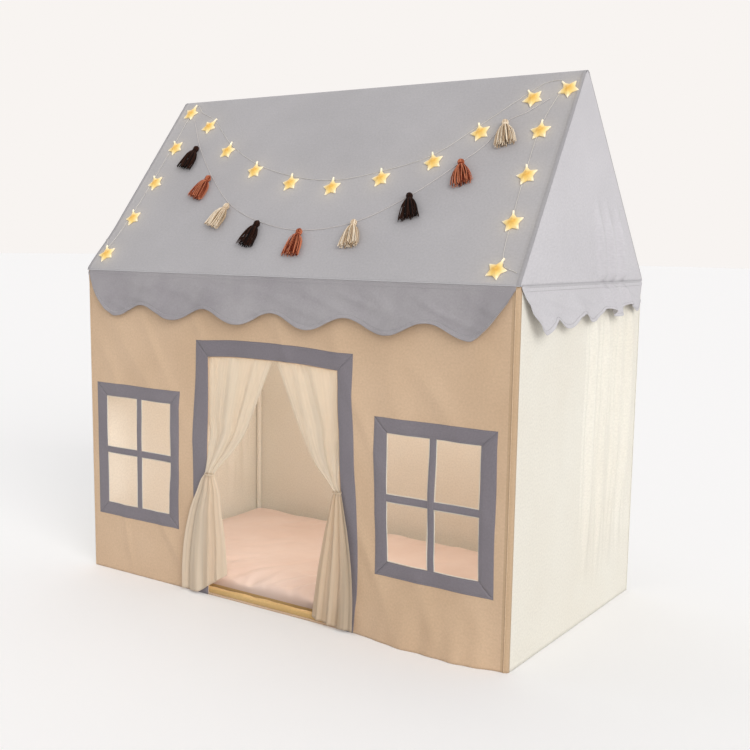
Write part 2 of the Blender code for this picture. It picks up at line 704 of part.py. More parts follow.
def case_frame():
    """The battery case's place: local X towards the front, Y up the gable, Z away from it."""
    middle = gable_place(-CASE_FROM_MIDDLE, CASE_ABOVE_EAVE, GAP)
    lean = Vector((GABLE_LEAN, 0, RIDGE_HEIGHT - EAVE_HEIGHT)).normalized()
    along = Vector((0, -1, 0))
    away = along.cross(lean)
    return middle, Matrix((along, lean, away)).transposed().to_4x4()


def boxed(size, middle):
    bm = bmesh.new()
    bmesh.ops.create_cube(bm, size=1.0)
    bmesh.ops.scale(bm, vec=size, verts=bm.verts)
    bmesh.ops.translate(bm, vec=middle, verts=bm.verts)
    return bm


def make_battery_case(case_material, knob_material):
    """Case with a slot for its slide switch, a lid over the cells, and the switch knob."""
    middle, turn = case_frame()
    place = Matrix.Translation(middle) @ turn
    lid_x = -CASE_LENGTH / 2 + LID_MARGIN + LID_LENGTH / 2
    knob_x = (lid_x + LID_LENGTH / 2 + CASE_LENGTH / 2) / 2
    face = CASE_DEPTH

    body = boxed((CASE_LENGTH, CASE_HEIGHT, CASE_DEPTH), (0, 0, CASE_DEPTH / 2))
    corners = [edge for edge in body.edges
               if abs(edge.verts[0].co.z - edge.verts[1].co.z) > CASE_DEPTH / 2]
    bmesh.ops.bevel(body, geom=corners, offset=CASE_ROUND, segments=3, profile=0.5,
                    affect="EDGES")
    bmesh.ops.transform(body, matrix=place, verts=body.verts)
    case = add_bmesh("battery_case", body, case_material, smooth=True)

    slot = boxed((SLOT_LENGTH, SLOT_HEIGHT, 2 * SLOT_DEPTH), (knob_x, 0, face))
    bmesh.ops.transform(slot, matrix=place, verts=slot.verts)
    cutter = add_bmesh("switch_slot_cutter", slot, case_material)
    cutter.hide_render = True
    cutter.display_type = "WIRE"
    cut = case.modifiers.new("switch slot", "BOOLEAN")
    cut.operation = "DIFFERENCE"
    cut.object = cutter

    lid = boxed((LID_LENGTH, CASE_HEIGHT - 2 * LID_MARGIN, LID_DEPTH),
                (lid_x, 0, face + GAP + LID_DEPTH / 2))
    bmesh.ops.transform(lid, matrix=place, verts=lid.verts)
    add_bmesh("battery_lid", lid, case_material)

    knob_height = SLOT_HEIGHT - 2 * GAP
    rise = SLOT_DEPTH + KNOB_PROUD - GAP
    off_x = knob_x - SLOT_LENGTH / 2 + GAP + KNOB_LENGTH / 2
    knob = boxed((KNOB_LENGTH, knob_height, rise),
                 (off_x, 0, face - SLOT_DEPTH + GAP + rise / 2))
    bmesh.ops.transform(knob, matrix=place, verts=knob.verts)
    add_bmesh("light_switch", knob, knob_material)


def tassel_solid(place):
    """Bound head and flared, fluted skirt, with the stem that hangs it on the cord."""
    across, up, lean, yarn = place
    top = roof_place(across, up, 0.0)
    lean = math.radians(lean)
    down = math.sin(lean) * Vector((1, 0, 0)) - math.cos(lean) * ROOF_UP
    side = down.cross(ROOF_OUT)
    frame = Matrix((side, ROOF_OUT, down)).transposed().to_4x4()
    cord_top = GAP + 2 * GARLAND_RADIUS
    axis_lift = cord_top + GAP + TASSEL_HEAD
    head_top = TASSEL_DROP
    neck = head_top + 2 * TASSEL_HEAD
    skirt = TASSEL_LENGTH - neck
    profile = [(0.0, head_top), (TASSEL_HEAD * 0.75, head_top + TASSEL_HEAD * 0.35),
               (TASSEL_HEAD, head_top + TASSEL_HEAD), (TASSEL_NECK, neck),
               (between(TASSEL_NECK, TASSEL_HEM, 0.30), neck + skirt * 0.22),
               (between(TASSEL_NECK, TASSEL_HEM, 0.68), neck + skirt * 0.60),
               (TASSEL_HEM, TASSEL_LENGTH), (0.0, TASSEL_LENGTH - TASSEL_HOLLOW)]
    body = turned(profile, TASSEL_SIDES)
    for vert in body.verts:
        spread = max(0.0, (vert.co.z - neck) / skirt)
        radius = math.hypot(vert.co.x, vert.co.y)
        if radius > MERGE and spread > 0:
            turn = math.atan2(vert.co.y, vert.co.x) / (2 * math.pi) * TASSEL_SIDES
            flute = between(1.0, TASSEL_FLUTE, spread) if round(turn) % 2 else 1.0
            vert.co.x *= flute
            vert.co.y *= flute * between(1.0, TASSEL_FLAT, math.sqrt(spread))
    bmesh.ops.translate(body, vec=(0, axis_lift, 0), verts=body.verts)
    stem_lift = cord_top + GAP + TASSEL_STEM
    stem_top = -GARLAND_RADIUS
    stem = turned([(0.0, stem_top), (TASSEL_STEM, stem_top), (TASSEL_STEM, neck / 2),
                   (0.0, neck / 2)], 6)
    bmesh.ops.translate(stem, vec=(0, stem_lift, 0), verts=stem.verts)
    for solid in (body, stem):
        bmesh.ops.transform(solid, matrix=Matrix.Translation(top) @ frame, verts=solid.verts)
    return united([body, stem])


def make_garland(cord_material, yarns):
    """A cord slung across the front slope with nine tassels."""
    lift = GAP + GARLAND_RADIUS
    shares = [GARLAND_START] + [tassel[:2] for tassel in TASSELS[:-1]]
    shares += [GARLAND_BEND_BELOW, TASSELS[-1][:2], GARLAND_BEND_ABOVE, GARLAND_END]
    route = [roof_place(across, up, lift) for across, up in shares]
    curve = cord_curve("garland_cord", smooth_route(route, ROUTE_STEP), GARLAND_RADIUS)
    curve.materials.append(cord_material)
    cord = bpy.data.objects.new("garland_cord", curve)
    bpy.context.scene.collection.objects.link(cord)
    for number, place in enumerate(TASSELS, start=1):
        add_mesh(f"tassel_{number}", tassel_solid(place), yarns[place[3]], smooth=True)


def build_tent():
    for old in list(bpy.data.objects):
        bpy.data.objects.remove(old, do_unlink=True)
    canvas = make_material("wall_canvas", "#CDB295", 0.9)
    roof_canvas = make_material("roof_canvas", "#B4AFB0", 0.9)
    trim_canvas = make_material("trim_canvas", "#807B85", 0.9)
    voile = make_material("voile", "#E0D2B8", 0.8)
    padding = make_material("mat_cotton", "#E0BFA8", 0.95)
    tube = make_material("white_tube", "#E8E6E1", 0.45)
    moulding = make_material("white_moulding", "#DAD8D2", 0.5)
    light = make_material("star_plastic", "#FFD96B", 0.35)
    case = make_material("case_plastic", "#E9E7E2", 0.4)
    knob = make_material("knob_plastic", "#3A3A3C", 0.5)
    twine = make_material("garland_twine", "#C9C1B8", 0.9)
    yarns = {"dark": make_material("dark_yarn", "#2A1B16", 0.95),
             "rust": make_material("rust_yarn", "#A0553A", 0.95),
             "cream": make_material("cream_yarn", "#CBB595", 0.95)}
    make_frame(tube, moulding)
    make_walls(canvas)
    make_roof(roof_canvas)
    make_valances(roof_canvas)
    make_trims(trim_canvas)
    make_curtains(voile)
    make_mat(padding)
    make_light_string(light)
    make_battery_case(case, knob)
    make_garland(twine, yarns)


build_tent()
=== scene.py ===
"""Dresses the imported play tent: cotton cover, voile curtains, mat, star lights, garland."""

import random
from functools import partial
from math import atan2, ceil, copysign, cos, exp, hypot, pi, radians, sin, sqrt

import bmesh
import bpy
from mathutils import Matrix, Vector, noise


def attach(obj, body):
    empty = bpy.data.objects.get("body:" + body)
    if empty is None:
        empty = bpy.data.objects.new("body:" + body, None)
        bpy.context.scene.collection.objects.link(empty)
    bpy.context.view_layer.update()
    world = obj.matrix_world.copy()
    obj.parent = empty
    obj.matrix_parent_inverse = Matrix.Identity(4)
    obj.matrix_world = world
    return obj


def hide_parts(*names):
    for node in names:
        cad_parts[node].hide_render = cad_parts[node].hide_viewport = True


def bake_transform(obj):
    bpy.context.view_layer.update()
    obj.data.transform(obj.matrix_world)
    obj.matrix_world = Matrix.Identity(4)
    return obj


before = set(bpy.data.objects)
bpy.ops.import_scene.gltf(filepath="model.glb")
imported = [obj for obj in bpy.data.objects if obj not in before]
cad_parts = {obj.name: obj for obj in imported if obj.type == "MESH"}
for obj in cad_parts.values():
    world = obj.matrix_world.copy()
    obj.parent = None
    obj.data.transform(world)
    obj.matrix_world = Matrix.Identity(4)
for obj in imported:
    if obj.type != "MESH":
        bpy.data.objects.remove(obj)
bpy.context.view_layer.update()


# Frame. Seventeen PVC tubes, extruded, and the ten moulded polypropylene corner pieces that
# plug into them. The cover hides them, but for what shows through the door and the windows.
def linear(hex_colour):
    """An sRGB hex colour as a linear RGBA tuple."""
    channels = [int(hex_colour[i:i + 2], 16) / 255 for i in (1, 3, 5)]
    return (*(c / 12.92 if c <= 0.04045 else ((c + 0.055) / 1.055) ** 2.4 for c in channels), 1.0)


def feed(node, feeds):
    """Gives each named or numbered socket a value, or links it to another node's output."""
    for socket, value in feeds.items():
        if isinstance(value, bpy.types.NodeSocket):
            node.id_data.links.new(value, node.inputs[socket])
        else:
            node.inputs[socket].default_value = value


def add_node(tree, kind, output, numbered=(), **named):
    """Adds a shader node and gives the output that is used.

    Names with a capital are sockets and the others settings; some sockets go by number.
    """
    node = tree.nodes.new("ShaderNode" + kind)
    feeds = dict(numbered)
    for name, value in named.items():
        if name[0].isupper():
            feeds[name.replace("_", " ")] = value
        else:
            setattr(node, name, value)
    feed(node, feeds)
    return node.outputs[output]


def start_finish(name, colour, roughness, sheen=0.0, specular=0.5):
    """A new material with its plain values, what adds nodes to it, and its shader."""
    finish = bpy.data.materials.new(name)
    finish.use_nodes = True
    shader = finish.node_tree.nodes["Principled BSDF"]
    feed(shader, {"Base Color": linear(colour), "Roughness": roughness,
                  "Sheen Weight": sheen, "Specular IOR Level": specular})
    return finish, partial(add_node, finish.node_tree), shader


def plastic(name, colour, roughness, grain, relief=0.12):
    """Moulded or extruded plastic: a satin skin with a fine grain, its gloss drifting slowly."""
    finish, add, shader = start_finish(name, colour, roughness)
    place = add("TexCoord", "Object")
    skin = add("TexNoise", "Fac", Vector=place, Scale=1 / grain, Detail=3.0)
    bump = add("Bump", "Normal", Height=skin, Strength=relief, Distance=0.0002)
    drift = add("TexNoise", "Fac", Vector=place, Scale=30.0, Detail=2.0)
    gloss = add("MapRange", "Result", Value=drift, To_Min=roughness - 0.06,
                To_Max=roughness + 0.06)
    feed(shader, {"Normal": bump, "Roughness": gloss})
    return finish


# PVC-U tube has the fine draw marks of its die; polypropylene mouldings have a spark-eroded
# grain near 0.4 mm.
tube_pvc = plastic("extruded_pvc_tube", "#E8E6E1", 0.42, 0.0008)
moulded_pp = plastic("moulded_polypropylene", "#DAD8D2", 0.5, 0.0004)
for node_name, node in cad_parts.items():
    if node_name.startswith(("post_", "rafter_", "base_rail_", "eave_rail_", "ridge_pole")):
        node.material_slots[0].material = tube_pvc
    elif "_connector_" in node_name:
        node.material_slots[0].material = moulded_pp


# Walls. Plain-woven cotton canvas, cut flat and sewn edge to edge, then slipped over the frame.
# The front is beige with a door and two windows cut in it; the sides and back are cream.
HALF_WIDTH, HALF_DEPTH, EAVE_HEIGHT, CORNER = 0.650, 0.354, 0.830, 0.0095
POST_X, POST_Y = HALF_WIDTH - CORNER, HALF_DEPTH - CORNER
CLOTH, GAP, HEM_LIFT, LIP = 0.0012, 0.0003, 0.0005, 0.0015
WALL_TOP = EAVE_HEIGHT - GAP
DOOR_LEFT, DOOR_RIGHT, DOOR_HEAD, SILL = -0.218, 0.198, 0.620, 0.006
WINDOW_MIDDLES = (-0.468, 0.458)
WINDOW_HALF, WINDOW_BASE, WINDOW_TOP = 0.1185, 0.191, 0.489
FRONT_REACH = POST_X + CORNER * pi / 2
CLOTH_PITCH, SEAM_LAP = 0.009, 0.006
SIDES = (("left", -1), ("right", 1))
# Where sewing and use pulled the front's seams in its plane: middle, reach and move, x then z
PULLS = [(-0.035, 0.640, 0.170, 0.120, 0.0, 0.008), (0.225, 0.180, 0.060, 0.170, 0.014, 0.0),
         (0.225, 0.620, 0.060, 0.130, -0.007, 0.0), (-0.272, 0.370, 0.045, 0.170, -0.010, 0.0),
         (0.445, 0.460, 0.165, 0.300, -0.0085, 0.0), (0.305, 0.500, 0.050, 0.140, -0.005, 0.0),
         (-0.335, 0.170, 0.075, 0.100, -0.008, 0.0)]
FOOT_KICK, CORNER_LEAN, FOOT_LEAN = 0.020, 0.014, 0.004


def between(low, high, share):
    return low + (high - low) * share


def rising(value, low, high):
    """0 up to low, 1 from high on, and a smooth step between them."""
    share = min(1.0, max(0.0, (value - low) / (high - low)))
    return share * share * (3 - 2 * share)


def bell(value, middle, width):
    return exp(-((value - middle) / width) ** 2)


def hump(value, middle, reach):
    """A bell with a flat top."""
    return exp(-((value - middle) / reach) ** 4)


def uneven(x, y, z):
    """Smooth unevenness from -1 to 1, the same at each run."""
    return noise.noise(Vector((x, y, z)))


def spaced(start, end, count):
    """Evenly spaced values with both ends."""
    return [start + (end - start) * i / count for i in range(count + 1)]


def ruled(marks, pitch):
    """Even steps between fixed marks, none longer than the pitch."""
    lines = [marks[0]]
    for low, high in zip(marks, marks[1:]):
        lines += spaced(low, high, max(1, ceil((high - low) / pitch)))[1:]
    return lines


def front_sway(x, z):
    """How far the slack front stands out from flat; the posts and the eave hold it."""
    free = rising(POST_X - abs(x), 0, 0.07) * rising(EAVE_HEIGHT - z, 0.02, 0.14)
    swell = uneven(x * 3.3, z * 2.1, 4)
    soft = uneven(x * 11 + z * 6, z * 3 - x * 2, 9)
    line = abs(uneven(x * 5 + z * 3.2, z * 2.2 - x * 1.1, 14))
    hung = 0.0045 * swell + 0.0015 * soft + 0.0034 * max(0, 1 - 6 * line)
    kick = FOOT_KICK * hump(x, 0.460, 0.165) * rising(-z, -0.16, 0)
    return free * (rising(z, -0.02, 0.08) * hung + kick * (1 + 0.3 * uneven(x * 22, z * 4, 2)))


def on_front(x, z, lift=0.0):
    """A point over the front's cloth, from its length along the cloth and its height."""
    turn = max(0.0, abs(x) - POST_X) / CORNER
    if turn == 0.0:
        free = rising(POST_X - abs(x), 0, 0.05)
        shares = [free * hump(x, pull[0], pull[2]) * hump(z, pull[1], pull[3]) for pull in PULLS]
        return Vector((x + sum(share * pull[4] for share, pull in zip(shares, PULLS)),
                       -HALF_DEPTH - (lift + front_sway(x, z)),
                       z + sum(share * pull[5] for share, pull in zip(shares, PULLS))))
    reach = CORNER + lift
    return Vector((copysign(POST_X + reach * sin(turn), x),
                   -POST_Y - reach * cos(turn), z))


def settled(place):
    """A place on the cover as it stands, leaning out at its left front eave corner."""
    near = rising(-place.x, 0.52, 0.652) * rising(-place.y, 0.23, 0.34)
    near *= 1 - rising(place.z, EAVE_HEIGHT, 0.97)
    return place - Vector((near * between(FOOT_LEAN, CORNER_LEAN, place.z / EAVE_HEIGHT), 0, 0))


def cloth_panel(columns, rows, place, flat=(1.0, 1.0), openings=()):
    """A grid of cloth at the given columns and rows, its openings cut out, moved into place.

    Its UV map keeps the flat cloth's metres: the columns and rows times flat.
    """
    bm = bmesh.new()
    bmesh.ops.create_grid(bm, x_segments=len(columns) - 1, y_segments=len(rows) - 1, size=0.5)
    for vert in bm.verts:
        vert.co.x = columns[round((vert.co.x + 0.5) * (len(columns) - 1))]
        vert.co.y = rows[round((vert.co.y + 0.5) * (len(rows) - 1))]
    cut = [face for face in bm.faces for middle in [face.calc_center_median()]
           if any(o[0] < middle.x < o[1] and o[2] < middle.y < o[3] for o in openings)]
    bmesh.ops.delete(bm, geom=cut, context="FACES")
    threads = bm.loops.layers.uv.new("threads")
    for face in bm.faces:
        for loop in face.loops:
            loop[threads].uv = (loop.vert.co.x * flat[0], loop.vert.co.y * flat[1])
    for vert in bm.verts:
        vert.co = place(vert.co.x, vert.co.y)
    bm.normal_update()
    return bm


def put(name, data):
    """A new object in the scene."""
    thing = bpy.data.objects.new(name, data)
    bpy.context.scene.collection.objects.link(thing)
    return thing


def new_piece(name, bm, finishes, stands_for=(), body="tent", thick=0.0):
    """A finished mesh as a named piece that stands for CAD nodes; cloth thickens inwards."""
    for vert in bm.verts:
        vert.co = settled(vert.co)
    mesh = bpy.data.meshes.new(name)
    bm.to_mesh(mesh)
    bm.free()
    for finish in finishes:
        mesh.materials.append(finish)
    mesh.shade_smooth()
    mesh.set_sharp_from_angle(angle=radians(50))
    piece = put(name, mesh)
    if body:
        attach(piece, body)
    if stands_for:
        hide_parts(*stands_for)
    if thick:
        solid = piece.modifiers.new("cloth thickness", "SOLIDIFY")
        solid.thickness, solid.offset = thick, -1.0
    return piece


def stretch(name, bm, finishes, slot, node, flat, rests_on, **area):
    """A panel of the cover, thickened, as a piece in place of its CAD node."""
    panel = new_piece(name, bm, finishes, [node], thick=CLOTH)


# The wave texture turns 20 times in 2 pi metres at a scale of 1.
WAVE_PITCH = 2 * pi / 20


def woven(name, colour, shade, thread, relief, sheen=0.12, drift=3.0):
    """Plain weave: crossed threads and slubs in relief, and a tone that drifts over the cloth."""
    finish, add, shader = start_finish(name, colour, 0.9, sheen, 0.2)
    threads = add("TexCoord", "UV")
    warp, weft = [add("TexWave", "Fac", Vector=threads, Scale=WAVE_PITCH / thread,
                      bands_direction=way) for way in "XY"]
    weave = add("Math", "Value", {0: warp, 1: weft}, operation="MULTIPLY")
    slub = add("TexNoise", "Fac", Vector=threads, Scale=0.35 / thread, Detail=3.0, Roughness=0.6)
    height = add("Math", "Value", {0: slub, 1: 1.2, 2: weave}, operation="MULTIPLY_ADD")
    bump = add("Bump", "Normal", Height=height, Strength=relief, Distance=thread * 0.3)
    tone = add("TexNoise", "Fac", Vector=threads.node.outputs["Object"], Scale=drift, Detail=5.0,
               Roughness=0.62)
    spread = add("MapRange", "Result", Value=tone, From_Min=0.3, From_Max=0.7)
    drifted = add("Mix", 2, {0: spread, 6: linear(colour), 7: linear(shade)}, data_type="RGBA")
    fleck = add("MapRange", "Result", Value=slub, From_Min=0.3, From_Max=0.7, To_Min=0.93,
                To_Max=1.05)
    shown = add("Mix", 2, {0: 1.0, 6: drifted, 7: fleck}, data_type="RGBA", blend_type="MULTIPLY")
    feed(shader, {"Base Color": shown, "Normal": bump})
    return finish


# Cotton canvas of about 16 threads to the centimetre. Threads 0.6 mm apart would melt away in
# the render, so they are drawn 1.8 mm apart.
CANVAS_THREAD = 0.0018
beige_canvas = woven("beige_cotton_canvas", "#D9BC9E", "#CDAF90", CANVAS_THREAD, 0.35)
# A darker beige for the right corner: painted shade, not a different cloth.
beige_seam_painted_shade = woven("beige_canvas_seam_painted_shade", "#C9AD8E", "#BFA283", CANVAS_THREAD, 0.35)
cream_canvas = woven("cream_cotton_canvas", "#EBE7DC", "#E5DFD2", CANVAS_THREAD, 0.30)

holes = [(DOOR_LEFT + LIP, DOOR_RIGHT - LIP, SILL, DOOR_HEAD - LIP)]
holes += [(middle - WINDOW_HALF + LIP, middle + WINDOW_HALF - LIP, WINDOW_BASE + LIP,
           WINDOW_TOP - LIP) for middle in WINDOW_MIDDLES]
front_columns = ruled(sorted([-FRONT_REACH, -POST_X, POST_X, FRONT_REACH]
                             + [edge for hole in holes for edge in hole[:2]]), CLOTH_PITCH)
front_rows = ruled(sorted({HEM_LIFT, WALL_TOP} | {edge for hole in holes for edge in hole[2:]}),
                   CLOTH_PITCH)
front_bm = cloth_panel(front_columns, front_rows, on_front, openings=holes)
# Along the right corner, where the seam's turned edges lie behind the beige, the beige is painted
# darker: painted shade of the corner.
for face in front_bm.faces:
    face.material_index = int(face.calc_center_median().x > POST_X - SEAM_LAP)
stretch("front_wall_cloth", front_bm, [beige_canvas, beige_seam_painted_shade], "wall_canvas", "front_wall",
        (2 * FRONT_REACH, WALL_TOP), ["post_front_left", "post_front_right", "eave_rail_front"],
        area=2 * FRONT_REACH * WALL_TOP - sum((h[1] - h[0]) * (h[3] - h[2]) for h in holes))


def on_back(s, z):
    """The back's cloth, its length running from right to left as seen from behind."""
    turn = max(0.0, abs(s) - POST_X) / CORNER
    ease = rising(POST_X - abs(s), 0, 0.15) * rising(EAVE_HEIGHT - z, 0, 0.15)
    slack = 0.004 * ease * rising(z, 0, 0.1) * uneven(s * 2.7, z * 2.3, 31)
    edge = min(abs(s), POST_X) + CORNER * sin(turn)
    return Vector((copysign(edge, -s), POST_Y + CORNER * cos(turn) + slack, z))


wall_rows = ruled([HEM_LIFT, WALL_TOP], CLOTH_PITCH)
back_columns = ruled([-FRONT_REACH, -POST_X, POST_X, FRONT_REACH], CLOTH_PITCH)
stretch("back_wall_cloth", cloth_panel(back_columns, wall_rows, on_back), [cream_canvas],
        "side_canvas", "back_wall", (2 * FRONT_REACH, WALL_TOP),
        ["post_back_left", "post_back_right", "eave_rail_back"])

SIDE_FOLDS, SIDE_FOLD_DEPTH, SIDE_FOLD_WIDTH = (0.040, 0.114, 0.198, 0.272), 0.0155, 0.014
SIDE_CREASES = [(0.012, 0.0028), (0.064, 0.0044), (0.090, 0.0036), (0.152, 0.0050),
                (0.178, 0.0040), (0.236, 0.0050), (0.298, 0.0044)]
SIDE_HALF = POST_Y - GAP


def on_side(side, y, z):
    """A side wall's cloth: soft upright folds in its rear half and a dent low behind them."""
    along = (y + SIDE_HALF) / (2 * SIDE_HALF)
    up = (z - HEM_LIFT) / (WALL_TOP - HEM_LIFT)
    held = sqrt(max(0.0, sin(pi * along) * sin(pi * up)))
    fold = 0.0
    for number, middle in enumerate(SIDE_FOLDS):
        wander = 0.020 * uneven(z * 2.6, 7 * number, 2 + side)
        width = SIDE_FOLD_WIDTH * (1 + 0.5 * uneven(z * 3, 5 * number, 8))
        fold += SIDE_FOLD_DEPTH * bell(y, middle + wander, width)
    for number, (middle, depth) in enumerate(SIDE_CREASES):
        wander = 0.012 * uneven(z * 3.4, 9 * number, 41 + side)
        share = rising(0.5 + uneven(z * 4, 3 * number, 51), 0.15, 0.6)
        fold += depth * share * bell(y, middle + wander, 0.0045)
    fold *= rising(z, 0.05, 0.40) * rising(EAVE_HEIGHT - z, 0.02, 0.14)
    fold -= 0.007 * bell(y, 0.262, 0.060) * bell(z, 0.235, 0.110)
    soft = 0.0030 * uneven(y * 4.5, z * 1.6, 5 + side)
    crease = 0.0010 * uneven(y * 16, z * 4 + y * 8, 5 + side)
    edge = rising(SIDE_HALF - abs(y), 0, 0.03)
    return Vector((side * (HALF_WIDTH + edge * fold + held * (soft + crease)), y, z))


side_columns = ruled([-SIDE_HALF, SIDE_HALF], CLOTH_PITCH / 3)
for side_name, side in SIDES:
    side_bm = cloth_panel(side_columns, wall_rows, lambda s, z: on_side(side, side * s, z))
    stretch(f"{side_name}_wall_cloth", side_bm, [cream_canvas], "side_canvas",
            f"{side_name}_wall", (2 * SIDE_HALF, WALL_TOP),
            [f"post_front_{side_name}", f"post_back_{side_name}", f"eave_rail_{side_name}"])


# Corner piping. A thin cord in a bias strip of canvas, beige at the front and cream at the back,
# caught in each upright seam between the walls, from the hem to the eave.
def drawn_line(name, routes, radius, resolution, finishes):
    """Filled round strands along their routes, as one curve."""
    line = bpy.data.curves.new(name, "CURVE")
    line.dimensions = "3D"
    line.bevel_depth, line.bevel_resolution, line.use_fill_caps = radius, resolution, True
    for finish in finishes:
        line.materials.append(finish)
    for route in routes:
        spline = line.splines.new("POLY")
        spline.points.add(len(route) - 1)
        for point, at in zip(spline.points, route):
            point.co = (*at, 1.0)
        spline.use_smooth = True
    return line


def round_cord(name, route, radius, finish, slot):
    """A cord along a route on the cover, as one open curve."""
    piece = put(name, drawn_line(name, [[settled(at) for at in route]], radius, 2, [finish]))
    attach(piece, "tent")
    return piece


def spun_yarn(name, colour, shade, twist):
    """Twisted cotton: a slanting ply in relief and flecks of a second tone."""
    finish, add, shader = start_finish(name, colour, 0.92, 0.05, 0.1)
    place = add("TexCoord", "Object")
    ply = add("TexWave", "Fac", Vector=place, Scale=WAVE_PITCH / twist, Distortion=1.5,
              bands_direction="DIAGONAL")
    fleck = add("TexNoise", "Fac", Vector=place, Scale=0.25 / twist, Detail=3.0)
    tone = add("Mix", 2, {0: fleck, 6: linear(colour), 7: linear(shade)}, data_type="RGBA")
    bump = add("Bump", "Normal", Height=ply, Strength=0.4, Distance=twist * 0.2)
    feed(shader, {"Base Color": tone, "Normal": bump})
    return finish


# The bias strips are the walls' own cotton with its threads aslant, about 1.2 mm apart here.
cream_piping = spun_yarn("cream_bias_piping", "#E2DFD4", "#D6D2C6", 0.0012)
beige_piping = spun_yarn("beige_bias_piping", "#DCC5A8", "#C0A281", 0.0012)
PIPING, PIPING_OUT = 0.0011, 0.0004
for side_name, side in SIDES:
    for end_name, seam_x, seam_y, out_x, out_y, finish, slot in (
            ("front", POST_X, -HALF_DEPTH, 0, -1, beige_piping, "wall_canvas"),
            ("back", HALF_WIDTH, POST_Y, 1, 0, cream_piping, "side_canvas")):
        foot = Vector((side * seam_x, seam_y, HEM_LIFT))
        foot += PIPING_OUT * Vector((side * out_x, out_y, 0))
        round_cord(f"corner_piping_{end_name}_{side_name}",
                   [foot + Vector((0, 0, rise)) for rise in spaced(0, WALL_TOP - 0.006, 40)],
                   PIPING, finish, slot)


# Door and window trims. Strips of grey canvas with turned edges, mitred at the corners and sewn
# down with a row of lockstitch along each edge. Two bars of the same strip cross each window.
BAND_PROFILE = [(0.0, -0.0004), (0.025, 0.0008), (0.06, 0.0011), (0.085, 0.0007),
                (0.11, 0.0011), (0.30, 0.0013), (0.50, 0.0014), (0.70, 0.0013),
                (0.89, 0.0011), (0.915, 0.0007), (0.94, 0.0011), (0.975, 0.0008), (1.0, -0.0004)]
STITCH_ROWS, STITCH_OVER_BAND = (0.085, 0.915), 0.0009
STITCH_PITCH, STITCH_SHARE, STITCH_WIDTH, STITCH_RISE = 0.0045, 0.66, 0.0008, 0.0007
DOOR_BAND, WINDOW_BAND, BAR, MITRE_LAP, EDGING = 0.042, 0.035, 0.017, 0.0004, 0.0009
BAND_PITCH, BAND_CLOTH, BAR_TUCK = 0.008, 0.0008, 0.007


def sew(bm, line, outward):
    """Lockstitches along a line of points set a stitch apart, just proud of the cloth."""
    for here, there in zip(line, line[1:]):
        run = there - here
        along = run.normalized()
        across = outward.cross(along).normalized()
        turn = Matrix((along, across, outward)).transposed().to_4x4()
        size = Matrix.Diagonal((run.length * STITCH_SHARE, STITCH_WIDTH, STITCH_RISE, 1.0))
        bmesh.ops.create_cube(bm, size=1.0,
                              matrix=Matrix.Translation((here + there) / 2) @ turn @ size)


def add_band(bm, thread_bm, start, end, width, mitres, lift=lambda flat: 0.0):
    """A sewn strip on the front from start to end, given as (x, z), its width to the left.

    Each mitre says how far that end shortens from the near edge to the far one, in widths.
    """
    start, end = Vector(start), Vector(end)
    length = (end - start).length
    along = (end - start) / length
    left = Vector((-along.y, along.x))

    def strip(run, across, rise):
        low = mitres[0] * (across * width + MITRE_LAP)
        high = length - mitres[1] * (across * width + MITRE_LAP)
        flat = start + along * between(low, high, run) + left * across * width
        waver = 0.0012 * uneven(flat.x * 9, flat.y * 9, 17)
        rise += 0.0003 * uneven(flat.x * 70, flat.y * 70, 23)
        flat += left * waver * rising(run * length, 0, 0.03) * rising((1 - run) * length, 0, 0.03)
        return on_front(flat.x, flat.y, GAP + rise + lift(flat))

    edges = len(BAND_PROFILE) - 1
    grid = bmesh.ops.create_grid(bm, x_segments=max(2, ceil(length / BAND_PITCH)),
                                 y_segments=edges, size=0.5)
    threads = bm.loops.layers.uv.verify()
    for face in {face for vert in grid["verts"] for face in vert.link_faces}:
        for loop in face.loops:
            share = BAND_PROFILE[round((loop.vert.co.y + 0.5) * edges)][0]
            loop[threads].uv = ((loop.vert.co.x + 0.5) * length, share * width)
    for vert in grid["verts"]:
        vert.co = strip(vert.co.x + 0.5, *BAND_PROFILE[round((vert.co.y + 0.5) * edges)])
    stitches = max(2, round(length / STITCH_PITCH))
    for across in STITCH_ROWS:
        sew(thread_bm, [strip(step / stitches, across, STITCH_OVER_BAND)
                        for step in range(stitches + 1)], Vector((0, -1, 0)))


# The trim's cotton is dyed a cool grey; its sewing thread is a shade paler.
grey_canvas = woven("grey_cotton_trim", "#868085", "#7E787E", 0.0016, 0.35)
grey_thread = spun_yarn("grey_polyester_thread", "#949095", "#888388", 0.0006)

door_bm, door_thread = bmesh.new(), bmesh.new()
door_corners = [(DOOR_LEFT, HEM_LIFT), (DOOR_LEFT, DOOR_HEAD), (DOOR_RIGHT, DOOR_HEAD),
                (DOOR_RIGHT, HEM_LIFT)]
for start, end, mitres in zip(door_corners, door_corners[1:], ((0, -1), (-1, -1), (-1, 0))):
    add_band(door_bm, door_thread, start, end, DOOR_BAND, mitres)
new_piece("door_trim_bands", door_bm, [grey_canvas], ["door_trim"],
          thick=BAND_CLOTH)
new_piece("door_trim_stitches", door_thread, [grey_thread])

